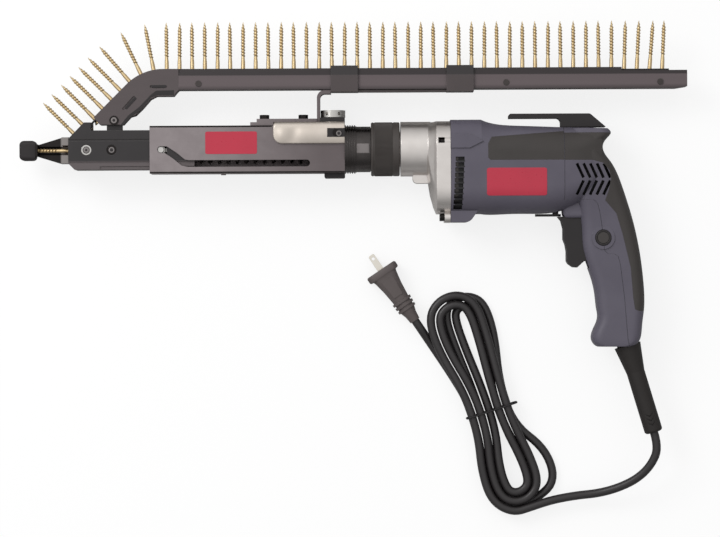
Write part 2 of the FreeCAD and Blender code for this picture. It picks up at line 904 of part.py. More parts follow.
def dome_solid(inset):
    inset = float(inset)
    run = float(d.gear_flange_start) - float(d.gear_nose_length)
    corner = float(d.barrel_corner)
    half = float(d.barrel_half_width)
    rows = []
    for along, rise, drop, width, rounding in dome_shares:
        x = float(d.gear_nose_length) + along * run + inset
        rows.append(section_x(
            x, float(d.barrel_rise) * rise - inset, -(float(d.barrel_drop) * drop - inset),
            half * width - inset,
            corner * rounding - inset,
        ))
    flange = (float(flange_rise) - inset, -(float(d.barrel_drop) - inset), half - inset, corner - inset)
    rows.append(section_x(float(d.gear_flange_start) + inset, *flange))
    dome = Part.makeLoft(rows, True, True)
    end = float(d.gear_case_length) + (float(d.overrun) if inset else 0)
    skirt = Part.makeLoft([rows[-1], section_x(end, *flange)], True, True)
    return feature(dome.fuse(skirt))


case_head_start = d.gear_case_length - d.case_boss_length - d.case_screw_head_height
case_bosses = [
    cylinder(d.case_boss_radius, d.case_boss_length, d.gear_case_length - d.case_boss_length, y, z)
    for y, z in case_screw_places
]
head_pockets = [
    cylinder(d.case_boss_radius, d.case_screw_head_height + d.overrun, case_head_start - d.overrun, y, z)
    for y, z in case_screw_places
]
case_hole_length = d.case_boss_length + d.case_screw_head_height + d.overrun * 2
case_holes = [
    cylinder(d.case_screw_radius + d.seat_gap, case_hole_length, case_head_start, y, z)
    for y, z in case_screw_places
]
lug_root_share = 0.8
lug_root = -d.gear_nose_radius * lug_root_share
gear_lug = padded(
    [
        (d.gear_nose_length - d.gear_lug_length, lug_root),
        (d.gear_nose_length - d.gear_lug_length, -d.gear_lug_drop, d.gear_lug_length / 3),
        (d.gear_nose_length + d.gear_wall / 2, -d.gear_lug_drop),
        (d.gear_nose_length + d.gear_wall / 2, lug_root),
    ],
    -d.gear_lug_width / 2,
    d.gear_lug_width / 2,
)
front_bearing_end = d.front_bearing_start + d.front_bearing_width
gear_case_solid = fuse(
    cylinder(d.gear_nose_radius, d.gear_nose_length + d.gear_wall),
    cylinder(d.stub_radius, d.stub_length + d.overrun, -d.stub_length),
    dome_solid(0), gear_lug,
)
gear_case_bored = cut(
    gear_case_solid, dome_solid(d.gear_wall), *head_pockets,
    cylinder(
        d.spindle_shoulder + d.running_gap, d.stub_length + d.gear_case_length, -d.stub_length - d.overrun
    ),
    cylinder(
        d.front_bearing_radius + d.seat_gap, d.gear_nose_length + d.gear_wall * 3, d.front_bearing_start
    ),
)
piece("gear_case", cut(fuse(gear_case_bored, *case_bosses), *case_holes))
screw_solids = [
    fuse(
        cylinder(d.case_screw_head_radius, d.case_screw_head_height, case_head_start, y, z),
        cylinder(
            d.case_screw_radius, d.case_boss_length + case_screw_depth,
            d.gear_case_length - d.case_boss_length, y, z
        ),
    )
    for y, z in case_screw_places
]


# Spindle, gears and bearings

def gear_outline(teeth, shift, first_angle):
    """Closed involute outline in (y, z), teeth thinned for backlash, one tooth centred on first_angle."""
    module = float(d.gear_module)
    pitch = module * teeth / 2
    pressure = math.radians(20)
    base = pitch * math.cos(pressure)
    tip = pitch + module * (1 + shift)
    root = pitch - module * (1.25 - shift)
    involute = math.tan(pressure) - pressure
    half_tooth = (math.pi / 2 + 2 * shift * math.tan(pressure)) / teeth - float(d.gear_backlash) / 4 / pitch
    steps = 6
    low = max(base, root)
    edges = []

    def at(radius, angle):
        return Vector(0, radius * math.cos(angle), radius * math.sin(angle))

    def flank_angle(radius):
        spread = math.acos(min(1, base / radius))
        return half_tooth + involute - (math.tan(spread) - spread)

    radii = [low + (tip - low) * k / steps for k in range(steps + 1)]
    for tooth in range(teeth):
        middle = first_angle + tooth * math.tau / teeth
        gap_middle = middle - math.pi / teeth
        rising = [at(r, middle - flank_angle(r)) for r in radii]
        falling = [at(r, middle + flank_angle(r)) for r in reversed(radii)]
        foot = at(root, middle - flank_angle(low))
        previous = at(root, middle - math.tau / teeth + flank_angle(low))
        edges.append(Part.Arc(previous, at(root, gap_middle), foot).toShape())
        if root < low:
            edges.append(Part.LineSegment(foot, rising[0]).toShape())
        for flank in (rising, falling):
            curve = Part.BSplineCurve()
            curve.interpolate(flank)
            if flank is falling:
                edges.append(Part.Arc(rising[-1], at(tip, middle), falling[0]).toShape())
            edges.append(curve.toShape())
        if root < low:
            edges.append(Part.LineSegment(falling[-1], at(root, middle + flank_angle(low))).toShape())
    return Part.Wire(edges)


def gear_solid(teeth, shift, first_angle, width):
    return feature(Part.Face(gear_outline(teeth, shift, first_angle)).extrude(Vector(width, 0, 0)))


spindle_tail_end = d.plate_start + d.plate_thickness - d.seat_gap
gear_end = d.gear_start + d.gear_width
spindle_front = -d.spindle_reach
bit_round = d.bit_flats / math.sqrt(3)
socket_share = 1.02


def hexagon(radius):
    return [
        (radius * math.cos(math.radians(60 * k)), radius * math.sin(math.radians(60 * k))) for k in range(6)
    ]


bit_socket = padded(
    hexagon(bit_round * socket_share),
    spindle_front - d.overrun, spindle_front + d.bit_grip, "YZ_Plane",
)
spindle_solid = turned(
    [
        (spindle_front, 0), (spindle_front, d.spindle_radius), (d.front_bearing_start, d.spindle_radius),
        (d.front_bearing_start, d.spindle_journal), (front_bearing_end, d.spindle_journal),
        (front_bearing_end, d.spindle_shoulder), (d.gear_start - d.seat_gap, d.spindle_shoulder),
        (d.gear_start - d.seat_gap, d.spindle_journal), (gear_end, d.spindle_journal),
        (gear_end, d.spindle_tail), (spindle_tail_end, d.spindle_tail), (spindle_tail_end, 0),
    ]
)
piece("spindle", cut(spindle_solid, bit_socket))
gap_at_pinion = math.pi + math.pi / GEAR_TEETH
piece("spindle_gear", put(cut(
    gear_solid(GEAR_TEETH, -PINION_SHIFT, gap_at_pinion, d.gear_width),
    cylinder(d.spindle_journal + d.seat_gap / 4, d.gear_width + d.overrun * 2, -d.overrun),
)), x=d.gear_start)
plate_inset = float(d.shell_wall) + float(d.seat_gap)
plate_section = [
    section_x(
        float(x), float(d.barrel_rise) - plate_inset, -(float(d.barrel_drop) - plate_inset),
        float(d.barrel_half_width) - plate_inset, float(d.barrel_corner) - plate_inset,
    )
    for x in (d.plate_start, d.plate_start + d.plate_thickness)
]
plate_bores = [
    cylinder(
        d.spindle_tail_bearing + d.seat_gap, d.plate_thickness + d.overrun * 2, d.plate_start - d.overrun
    ),
    cylinder(
        d.motor_front_bearing + d.seat_gap, d.plate_thickness + d.overrun * 2, d.plate_start - d.overrun,
        motor_y
    ),
]
plate_screw_holes = [
    cylinder(
        d.case_screw_radius + d.running_gap, d.plate_thickness + d.overrun * 2, d.plate_start - d.overrun, y,
        z
    )
    for y, z in case_screw_places[:2]
]
piece(
    "bearing_plate", cut(feature(Part.makeLoft(plate_section, True, True)), *plate_bores, *plate_screw_holes)
)


# Motor, turning about its own axis below the drive axis

pinion_start = d.gear_start - (d.pinion_width - d.gear_width) / 2
shaft_start = pinion_start + d.pinion_width
shaft_end = d.motor_rear_start + d.motor_bearing_width
pinion = put(gear_solid(PINION_TEETH, PINION_SHIFT, 0, d.pinion_width), pinion_start)
piece("armature_shaft", fuse(pinion, turned(
    [
        (shaft_start, 0), (shaft_start, d.motor_journal),
        (d.motor_rear_start - d.running_gap, d.motor_journal),
        (d.motor_rear_start - d.running_gap, d.motor_rear_journal), (shaft_end, d.motor_rear_journal),
        (shaft_end, 0),
    ]
)), y=motor_y)
press_bore = d.motor_journal + d.seat_gap / 4
slot_floor_share = 0.7


def armature_slot(index):
    angle = math.tau * index / ARMATURE_SLOTS
    turn = Rotation(Vector(1, 0, 0), math.degrees(angle))
    made = doc.addObject("Part::Box", "slot")
    bind(made, "Length", d.core_length + d.overrun * 2)
    bind(made, "Width", d.armature_radius / 3)
    bind(made, "Height", d.armature_slot)
    corner = turn.multVec(Vector(0, float(d.armature_radius) * slot_floor_share, -float(d.armature_slot) / 2))
    return put(made, d.core_start - d.overrun, corner.y, corner.z, turn)


piece("armature_core", cut(
    ring(d.armature_radius, press_bore, d.core_length, d.core_start),
    *[armature_slot(index) for index in range(ARMATURE_SLOTS)],
), y=motor_y)
piece("armature_winding", group(
    ring(d.winding_radius, press_bore, d.winding_length, d.core_start - d.winding_length),
    ring(d.winding_radius, press_bore, d.winding_length, core_end),
), y=motor_y)
piece("commutator", ring(d.commutator_radius, press_bore, d.commutator_length, d.commutator_start), y=motor_y)


def fan_blade(index):
    turn = Rotation(Vector(1, 0, 0), 360 * index / FAN_BLADES)
    made = doc.addObject("Part::Box", "blade")
    bind(made, "Length", d.fan_width - d.fan_plate / 2)
    bind(made, "Width", d.fan_radius - d.fan_hub)
    bind(made, "Height", d.fan_blade)
    corner = turn.multVec(Vector(0, float(d.fan_hub) - float(d.fan_blade), -float(d.fan_blade) / 2))
    return put(made, d.fan_start + d.fan_plate / 2, corner.y, corner.z, turn)


piece("cooling_fan", cut(
    fuse(
        cylinder(d.fan_radius, d.fan_plate, d.fan_start), cylinder(d.fan_hub, d.fan_width, d.fan_start),
        *[fan_blade(index) for index in range(FAN_BLADES)],
    ),
    cylinder(press_bore, d.fan_width + d.overrun * 2, d.fan_start - d.overrun),
), y=motor_y)
piece("bearings", group(
    ring(
        d.front_bearing_radius, d.spindle_journal + d.shaft_gap, d.front_bearing_width - d.seat_gap,
        d.front_bearing_start
    ),
    ring(d.spindle_tail_bearing, d.spindle_tail + d.shaft_gap, d.plate_thickness - d.seat_gap, d.plate_start),
    ring(d.motor_front_bearing, d.motor_journal + d.shaft_gap, d.plate_thickness, d.plate_start, motor_y),
    ring(
        d.motor_rear_bearing, d.motor_rear_journal + d.shaft_gap, d.motor_bearing_width, d.motor_rear_start,
        motor_y
    ),
))


def coil_block(side, grow, overhang):
    half = d.coil_width / 2 + grow
    low = d.coil_level - d.coil_height / 2 - grow
    high = d.coil_level + d.coil_height / 2 + grow
    levels = (low, high) if side > 0 else (-high, -low)
    return box(d.core_start - overhang, core_end + overhang, levels[0], levels[1], -half, half)


piece("field_core", cut(
    ring(d.core_radius, d.core_bore, d.core_length, d.core_start),
    coil_block(1, d.seat_gap, d.overrun), coil_block(-1, d.seat_gap, d.overrun),
), y=motor_y)
piece("field_coils", group(coil_block(1, 0, d.coil_overhang), coil_block(-1, 0, d.coil_overhang)), y=motor_y)
brush_middle = d.commutator_start + d.commutator_length / 2
holder_end = d.barrel_half_width - d.shell_wall - d.running_gap * 3


def brush(side, grow, start, end):
    half = d.brush_width / 2 + grow
    levels = (start, end) if side > 0 else (-end, -start)
    return box(brush_middle - half, brush_middle + half, -half, half, levels[0], levels[1])


brush_start = d.commutator_radius + d.running_gap
piece("carbon_brushes", group(
    brush(1, 0, brush_start, brush_start + d.brush_length),
    brush(-1, 0, brush_start, brush_start + d.brush_length),
), y=motor_y)
piece("brush_holders", group(*[
    cut(
        brush(side, d.brush_holder_wall + d.seat_gap, d.brush_holder_start, holder_end),
        brush(side, d.seat_gap, d.brush_holder_start - d.overrun, brush_start + d.brush_length + d.overrun),
    )
    for side in (1, -1)
]), y=motor_y)


# Controls on the handle

# Trigger outline: shares of (trigger depth, trigger height) from its top front corner.
trigger_shares = [
    (0, 0), (0.108, 0.08), (0.172, 0.239), (0.172, 0.446), (0.236, 0.548), (0.274, 0.682), (0.274, 0.876),
    (0.331, 0.933), (0.475, 0.996), (0.602, 1), (0.82, 0.876), (1, 0.876), (1, 0),
]
trigger_depth = d.trigger_back - d.trigger_front
trigger_height = d.trigger_bottom - d.trigger_top
piece("trigger", padded(
    [(d.trigger_front + trigger_depth * x, -d.trigger_top - trigger_height * y) for x, y in trigger_shares],
    -d.trigger_half_width, d.trigger_half_width,
))
piece("switch_module", box(
    d.switch_start, switch_end, -switch_bottom, -d.switch_top, -d.switch_half_width, d.switch_half_width
))
lock_dish_share = 0.78
lock_dish = d.lock_radius * lock_dish_share
piece("lock_button", cut(
    cylinder(d.lock_radius, d.lock_top - d.lock_foot, d.lock_x, -d.lock_drop, d.lock_foot, "Z"),
    cylinder(lock_dish, d.lock_base, d.lock_x, -d.lock_drop, d.lock_top - d.shell_wall / 4, "Z"),
))
lever_top = -(d.barrel_drop + d.running_gap)
lever_plate = padded(
    [
        (d.lever_front, -d.lever_width / 2, d.lever_width / 3),
        (d.lever_back, -d.lever_width / 2, d.lever_width / 3),
        (d.lever_back, d.lever_width / 2, d.lever_width / 3),
        (d.lever_front, d.lever_width / 2, d.lever_width / 3),
    ],
    0, d.lever_height,
)
lever_flat = Rotation(Vector(1, 0, 0), 90)
put(lever_plate, 0, lever_top, 0, lever_flat)
piece("reverse_lever", fuse(
    lever_plate,
    cylinder(d.lever_pin_radius, d.shell_wall * 2, d.lever_pivot, lever_top - d.lever_height / 2, 0, "Y")
))
hook_floor = d.barrel_rise_rear + d.seat_gap * 2
hook_form = padded(
    [
        (d.hook_front, d.hook_top - d.hook_arm), (d.hook_front, d.hook_top, d.hook_arm / 2),
        (d.hook_slope_start, d.hook_top, d.hook_arm), (d.hook_back, hook_floor + d.seat_gap),
        (d.hook_back, hook_floor), (d.hook_base_start, hook_floor),
        (d.hook_base_start, d.hook_top - d.hook_arm, d.hook_arm),
    ],
    -d.hook_half_width, d.hook_half_width,
)
hook_screw_x = (d.hook_base_start + d.hook_slope_start) / 2
hook_head_level = d.hook_top - d.hook_screw_head_height
piece("belt_hook", cut(
    hook_form,
    cylinder(
        d.hook_screw_head + d.seat_gap, d.hook_screw_head_height + d.overrun, hook_screw_x, hook_head_level,
        0, "Y"
    ),
    cylinder(d.hook_screw_radius + d.seat_gap, d.hook_top, hook_screw_x, hook_floor - d.overrun, 0, "Y"),
))
hook_screw = fuse(
    cylinder(d.hook_screw_head, d.hook_screw_head_height - d.seat_gap, hook_screw_x, hook_head_level, 0, "Y"),
    cylinder(
        d.hook_screw_radius, hook_head_level - hook_floor + d.seat_gap, hook_screw_x, hook_floor, 0, "Y"
    ),
)
piece("casing_screws", group(*screw_solids, hook_screw))
strain_end = d.strain_length
boot_taper_share = 0.93
strain_form = turned(
    [
        (-d.strain_root_length, 0), (-d.strain_root_length, d.strain_root_radius),
        (d.seat_gap, d.strain_root_radius),
        (d.seat_gap, d.strain_boot_radius), (d.strain_boot_length, d.strain_boot_radius * boot_taper_share),
        (d.strain_boot_length + d.strain_taper_length, d.strain_tube_radius),
        (strain_end, d.strain_tube_radius, d.strain_tube_radius / 3), (strain_end, 0),
    ]
)
# Chevron slots near the end let the tube bend: two leaning cuts each, on both faces. The cuts cross
# at the tip, so that they don't meet along one edge only.
chevron_lean = 35
chevrons = []
for index in range(CHEVRONS):
    for lean_side in (-1, 1):
        for face in (-1, 1):
            arm = doc.addObject("Part::Box", "chevron")
            bind(arm, "Length", d.chevron_width)
            bind(arm, "Width", d.chevron_arm)
            bind(arm, "Height", d.chevron_depth + d.overrun)
            lean = Rotation(Vector(0, 0, 1), 180 * (lean_side < 0) + chevron_lean * lean_side)
            back = lean.multVec(Vector(min(lean_side, 0), -1, 0))
            low = d.strain_tube_radius - d.chevron_depth if face > 0 else -d.strain_tube_radius - d.overrun
            arm_x = strain_end - d.chevron_pitch * (index + 2) + d.chevron_width * back.x
            put(arm, arm_x, d.chevron_width * back.y, low, lean)
            chevrons.append(arm)
piece("strain_relief", cut(strain_form, *chevrons), x=strain_x, y=strain_y, turn=strain_turn)


# Depth collar and threaded adapter on the gear case's stub

adapter_back = -(d.collar_gap + d.running_gap)
thread_count = int(float(d.adapter_thread_length) / float(d.thread_pitch))
thread_rings = [
    ring(
        d.adapter_radius + d.overrun, d.adapter_radius - d.thread_depth, d.thread_pitch / 2,
        adapter_front + d.thread_pitch * (index + 0.5),
    )
    for index in range(thread_count)
]
piece("threaded_adapter", cut(
    turned(
        [
            (adapter_front, d.adapter_bore), (adapter_front, d.adapter_radius),
            (adapter_front + d.adapter_thread_length, d.adapter_radius),
            (adapter_front + d.adapter_thread_length, d.adapter_neck_radius),
            (collar_front - d.running_gap, d.adapter_neck_radius),
            (collar_front - d.running_gap, d.adapter_sleeve_radius),
            (adapter_back, d.adapter_sleeve_radius), (adapter_back, d.stub_radius + d.seat_gap),
            (-d.stub_length - d.seat_gap, d.stub_radius + d.seat_gap),
            (-d.stub_length - d.seat_gap, d.adapter_bore),
        ]
    ),
    *thread_rings,
    mirrored_box(
        adapter_front + d.adapter_thread_length + d.wrench_flat_depth, collar_front - d.wrench_flat_depth,
        -d.adapter_radius, d.adapter_radius, d.adapter_neck_radius - d.wrench_flat_depth, deep,
    ),
))
piece(
    "depth_collar",
    ring(d.collar_radius, d.adapter_sleeve_radius + d.shaft_gap, d.collar_length, collar_front)
)


# Feed housing: rectangular tube with the cam slot

def rectangle(half_y, half_z, corner):
    return [
        (-half_y, -half_z, corner), (half_y, -half_z, corner), (half_y, half_z, corner),
        (-half_y, half_z, corner)
    ]


cavity_half_height = d.slide_half_height + d.running_gap
cavity_half_width = d.housing_half_width - d.housing_wall
housing_tube = padded(
    rectangle(d.housing_half_height, d.housing_half_width, d.housing_corner), housing_front, housing_back,
    "YZ_Plane"
)
housing_cavity = box(
    housing_front - d.overrun, housing_back + d.overrun, -cavity_half_height, cavity_half_height,
    -cavity_half_width, cavity_half_width,
)
slot_start = housing_front + d.slot_lead
# Middle line of the cam slot: shares of (slot_length, slot_drop).
cam_slot_shares = [(0, 0), (0.035, 0.01), (0.095, 0.42), (0.155, 0.93), (0.19, 1), (1, 1)]
slot_points = [Vector(slot_start + d.slot_length * x, -d.slot_drop * y, 0) for x, y in cam_slot_shares]
slot_low = cavity_half_width - d.overrun
slot_depth = d.housing_wall + d.overrun * 2
slot_cutters = [
    cylinder(d.slot_width / 2, slot_depth, point.x, point.y, slot_low, "Z") for point in slot_points
]
for start, end in zip(slot_points, slot_points[1:]):
    run = end - start
    leg = doc.addObject("Part::Box", "leg")
    leg.Length = run.Length
    bind(leg, "Width", d.slot_width)
    bind(leg, "Height", slot_depth)
    lean = Rotation(Vector(1, 0, 0), run)
    side = lean.multVec(Vector(0, -float(d.slot_width) / 2, 0))
    put(leg, start.x + side.x, start.y + side.y, slot_low, lean)
    slot_cutters.append(leg)
post_gap = d.post_half_width + d.running_gap
post_slot = box(
    housing_front - d.overrun, housing_front + d.post_slot_length, 0, d.housing_half_height + d.overrun,
    -post_gap, post_gap
)
nub = cylinder(
    d.nub_radius, d.nub_height + d.housing_wall,
    -d.nub_distance, -(d.housing_half_height + d.nub_height), 0, "Y",
)
piece("feed_housing", cut(fuse(housing_tube, nub), housing_cavity, post_slot, *slot_cutters))
block_start = housing_back - d.rear_block_length
piece("rear_block", cut(
    box(
        block_start, housing_back, -(cavity_half_height - d.seat_gap), cavity_half_height - d.seat_gap,
        -(cavity_half_width - d.seat_gap), cavity_half_width - d.seat_gap,
    ),
    cylinder(d.adapter_bore, d.rear_block_length + d.overrun * 2, block_start - d.overrun),
))
piece("rear_foot", padded(
    [
        (housing_back - d.foot_length, -d.housing_half_height), (housing_back, -d.housing_half_height),
        (housing_back, -(d.housing_half_height + d.foot_height), d.foot_height / 3),
        (housing_back - d.foot_length, -(d.housing_half_height + d.foot_height), d.foot_height / 3),
    ],
    -d.foot_half_width, d.foot_half_width,
))


# Saddle clamp over the housing and the plates on it

saddle_front = housing_back - d.saddle_length
saddle_top = d.housing_half_height + d.seat_gap + d.saddle_thickness
saddle_low = d.housing_half_height - d.saddle_drop
saddle_half = d.housing_half_width + d.seat_gap + d.saddle_thickness
saddle_inner = d.housing_half_width + d.seat_gap
saddle_skin = padded(
    [
        (saddle_low, -saddle_half), (saddle_top, -saddle_half, d.saddle_corner),
        (saddle_top, saddle_half, d.saddle_corner), (saddle_low, saddle_half),
    ],
    saddle_front, housing_back, "YZ_Plane",
)
saddle_outline = padded(
    [
        (saddle_front, saddle_low, d.saddle_drop / 3), (housing_back, saddle_low),
        (housing_back, saddle_top), (saddle_front, saddle_top, d.saddle_drop / 2),
    ],
    -deep, deep,
)
saddle_room = box(
    saddle_front - d.overrun, housing_back + d.overrun, saddle_low - d.overrun,
    d.housing_half_height + d.seat_gap,
    -saddle_inner, saddle_inner,
)
piece("clamp_saddle", cut(common(saddle_skin, saddle_outline), saddle_room))
clip_front = housing_back - d.clip_length
clip_top = saddle_half + d.clip_thickness
clip_middle = clip_front + d.clip_length / 2
clip_hole_share = 0.6
clip_hole = d.clip_screw_radius * clip_hole_share
piece("saddle_clip", cut(
    padded(
        [
            (clip_front, d.clip_level - d.clip_height / 2), (housing_back, d.clip_level - d.clip_height / 2),
            (housing_back, d.clip_level + d.clip_height / 2), (clip_front, d.clip_level + d.clip_height / 2),
        ],
        saddle_half, clip_top,
    ),
    cylinder(
        clip_hole, d.clip_thickness + d.overrun * 2, clip_middle, d.clip_level, saddle_half - d.overrun, "Z"
    ),
))
clip_screw = fuse(
    cylinder(d.clip_screw_radius, d.clip_screw_height, clip_middle, d.clip_level, clip_top, "Z"),
    cylinder(clip_hole - d.seat_gap, d.clip_thickness, clip_middle, d.clip_level, saddle_half, "Z"),
)

base_front = housing_back - d.base_length
bracket_front = base_front - d.bracket_thickness
top_plate_front = bracket_front - d.plate_length
top_plate_top = saddle_top + d.top_plate_thickness
bolt_places = [top_plate_front + d.bolt_inset, top_plate_front + d.bolt_inset + d.bolt_spacing]
spacer_end = saddle_front - d.seat_gap
top_plate_solid = fuse(
    box(
        top_plate_front, bracket_front, saddle_top, top_plate_top, -d.top_plate_half_width,
        d.top_plate_half_width
    ),
    box(
        spacer_end - d.spacer_length, spacer_end, d.housing_half_height, saddle_top,
        -d.top_plate_half_width, d.top_plate_half_width,
    ),
)
piece("top_plate", cut(top_plate_solid, *[
    cylinder(d.bolt_shank_radius + d.seat_gap, d.top_plate_thickness + d.overrun, x, saddle_top, 0, "Y")
    for x in bolt_places
]))


bolt_solids = []
for bolt_x in bolt_places:
    head = padded(hexagon(d.bolt_radius), 0, d.bolt_height)
    put(head, bolt_x, top_plate_top, 0, TURN_TO_Y)
    shank = cylinder(d.bolt_shank_radius, d.top_plate_thickness, bolt_x, saddle_top, 0, "Y")
    bolt_solids.append(fuse(head, shank))
piece("clamp_screws", group(*bolt_solids, clip_screw))

base_top = saddle_top + d.base_thickness
nut_x = base_front + d.running_gap + d.nut_radius
nut_low = base_top + d.running_gap
piece("bracket_base", fuse(
    box(base_front, housing_back, saddle_top, base_top, -d.base_half_width, d.base_half_width),
    cylinder(d.nut_stud_radius, d.running_gap + d.nut_height, nut_x, base_top, 0, "Y"),
))
nut_holes = []
for index in range(NUT_HOLES):
    turn = Rotation(Vector(0, 1, 0), 360 * index / NUT_HOLES)
    out = turn.multVec(Vector(1, 0, 0))
    reach = d.nut_radius - d.nut_hole_depth
    hole = cylinder(d.nut_hole_radius, d.nut_hole_depth + d.overrun)
    put(hole, nut_x + reach * out.x, nut_low + d.nut_height / 2, reach * out.z, turn * TURN_TO_X)
    nut_holes.append(hole)
piece("clamp_nut", cut(
    ring(d.nut_radius, d.nut_stud_radius + d.shaft_gap, d.nut_height, nut_x, nut_low, 0, "Y"), *nut_holes
))


# Guide rail and its carrier

rail_top = d.rail_bottom + d.rail_height
shoulder_level = d.rail_bottom + d.rail_shoulder
sleeve_room = d.running_gap
sleeve_low = d.rail_bottom - sleeve_room - d.sleeve_wall
sleeve_top_share = 0.7
bracket_reach_share = 1.2
sleeve_high = rail_top + sleeve_room + d.sleeve_wall * sleeve_top_share
sleeve_front = bracket_front + d.bracket_thickness + d.bracket_half_width * bracket_reach_share
bracket_top = sleeve_low + d.sleeve_wall
bracket_lip_low = sleeve_low - d.bracket_lip
piece("rail_bracket", padded(
    [
        (bracket_front, saddle_top), (base_front, saddle_top),
        (base_front, bracket_lip_low, d.bracket_round - d.bracket_thickness), (sleeve_front, bracket_lip_low),
        (sleeve_front, bracket_top), (bracket_front, bracket_top, d.bracket_round),
    ],
    -d.bracket_half_width, d.bracket_half_width,
))


def rail_outline(grow):
    half = d.rail_half_width + grow
    top_half = d.rail_top_half_width + grow
    return [
        (d.rail_bottom - grow, -half), (d.rail_bottom - grow, half), (shoulder_level, half),
        (rail_top + grow, top_half), (rail_top + grow, -top_half), (shoulder_level, -half),
    ]


def sleeve(start):
    end = start + d.sleeve_length
    grown = d.running_gap + d.sleeve_wall
    mouth = d.rail_slot_half_width + d.running_gap
    return cut(
        padded(rail_outline(grown), start, end, "YZ_Plane"),
        padded(rail_outline(d.running_gap), start - d.overrun, end + d.overrun, "YZ_Plane"),
        box(
            start - d.overrun, end + d.overrun, shoulder_level, sleeve_high + d.sleeve_wall + d.overrun,
            -mouth, mouth
        ),
    )


second_sleeve = sleeve_front + d.sleeve_spacing
piece("rail_carrier", fuse(
    sleeve(sleeve_front), sleeve(second_sleeve),
    box(
        sleeve_front + d.sleeve_length, second_sleeve, sleeve_low, sleeve_low + d.sleeve_wall,
        -d.link_half_width, d.link_half_width,
    ),
))

inner_half = d.rail_half_width - d.rail_wall
inner_top_half = d.rail_top_half_width - d.rail_wall
lip_low = rail_top - d.strip_depth + d.strip_thickness / 2 + d.seat_gap
rail_section = [
    (d.rail_bottom, -d.rail_half_width), (d.rail_bottom, d.rail_half_width),
    (shoulder_level, d.rail_half_width),
    (rail_top, d.rail_top_half_width), (rail_top, d.rail_slot_half_width), (lip_low, d.rail_slot_half_width),
    (lip_low, inner_top_half), (shoulder_level, inner_half), (d.rail_bottom + d.rail_wall, inner_half),
    (d.rail_bottom + d.rail_wall, -inner_half), (shoulder_level, -inner_half), (lip_low, -inner_top_half),
    (lip_low, -d.rail_slot_half_width), (rail_top, -d.rail_slot_half_width),
    (rail_top, -d.rail_top_half_width),
    (shoulder_level, -d.rail_half_width),
]
rail_front = -d.rail_start
lip_cut_level = rail_top - d.strip_depth - d.strip_thickness / 2 - d.running_gap
rail_taper = padded(
    [
        (d.rail_end - d.rail_end_taper, d.rail_bottom),
        (d.rail_end - d.rail_end_taper, d.rail_bottom - d.overrun),
        (d.rail_end + d.overrun, d.rail_bottom - d.overrun),
        (d.rail_end + d.overrun, d.rail_bottom + d.overrun),
    ],
    -deep, deep,
)
piece("feed_rail", cut(
    padded(rail_section, rail_front, d.rail_end, "YZ_Plane"),
    box(d.rail_lip_end, d.rail_end + d.overrun, lip_cut_level, rail_top + d.overrun, -deep, deep),
    rail_taper,
))


# Screw strip: its line from the nose, round the sprocket, up the angled guide and along the rail

strip_level = rail_top - d.strip_depth
sprocket_radius = d.strip_pitch * SPROCKET_TEETH / math.tau
sprocket_x = sprocket_radius * math.sqrt(2) - d.strip_offset
diagonal = math.sqrt(0.5)
bend_corner = strip_level - d.strip_offset
bend_reach = d.strip_bend * math.tan(math.radians(22.5))
wrap_end = Vector(sprocket_x - sprocket_radius * diagonal, sprocket_radius * diagonal, 0)
bend_start = Vector(bend_corner - bend_reach * diagonal, strip_level - bend_reach * diagonal, 0)
bend_end = Vector(bend_corner + bend_reach, strip_level, 0)
bend_centre = Vector(bend_end.x, bend_end.y - float(d.strip_bend), 0)
wrap_centre = Vector(sprocket_x, 0, 0)
wrap_length = float(sprocket_radius) * math.pi / 4
slope_length = (bend_start - wrap_end).Length
bend_length = float(d.strip_bend) * math.pi / 4


def strip_point(along):
    """Point on the strip's line, and the angle of a screw there (0 points along -X, 90 along +Y)."""
    if along < wrap_length:
        angle = along / float(sprocket_radius)
        out = Vector(-math.cos(angle), math.sin(angle), 0)
        return wrap_centre + out * float(sprocket_radius), math.degrees(angle)
    along -= wrap_length
    if along < slope_length:
        return wrap_end + (bend_start - wrap_end) * (along / slope_length), 45
    along -= slope_length
    if along < bend_length:
        angle = along / float(d.strip_bend) + math.pi / 4
        out = Vector(-math.cos(angle), math.sin(angle), 0)
        return bend_centre + out * float(d.strip_bend), math.degrees(angle)
    return bend_end + Vector(along - bend_length, 0, 0), 90


def strip_band(inner, outer, first, last, half_width):
    """Block along the strip's line between two distances, from inner to outer offset towards the tips."""
    bend_mark = wrap_length + slope_length
    joints = [wrap_length, bend_mark, bend_mark + bend_length]
    marks = [float(first)] + [mark for mark in joints if float(first) < mark < float(last)] + [float(last)]

    def side(offset):
        edges = []
        for start, end in zip(marks, marks[1:]):
            stations = []
            for along in (start + 1e-6, (start + end) / 2, end - 1e-6):
                point, angle = strip_point(along)
                out = Vector(-math.cos(math.radians(angle)), math.sin(math.radians(angle)), 0)
                stations.append((point + out * float(offset), angle))
            bent = abs(stations[2][1] - stations[0][1]) > 1
            a, b, c = [station[0] for station in stations]
            edges.append(Part.Arc(a, b, c) if bent else Part.LineSegment(a, c))
        return edges

    near = side(inner)
    far = side(outer)

    def joined(edges):
        fixed = []
        for edge in edges:
            start = fixed[-1].EndPoint if fixed else edge.StartPoint
            if isinstance(edge, Part.LineSegment):
                fixed.append(Part.LineSegment(start, edge.EndPoint))
            else:
                middle = edge.value((edge.FirstParameter + edge.LastParameter) / 2)
                fixed.append(Part.Arc(start, middle, edge.EndPoint))
        return fixed

    near = joined(near)
    far = joined(far)
    edges = [edge.toShape() for edge in near + far]
    edges.append(Part.LineSegment(near[0].StartPoint, far[0].StartPoint).toShape())
    edges.append(Part.LineSegment(near[-1].EndPoint, far[-1].EndPoint).toShape())
    face = Part.Face(Part.Wire(Part.__sortEdges__(edges)))
    face.translate(Vector(0, 0, -float(half_width)))
    return face.extrude(Vector(0, 0, 2 * float(half_width)))


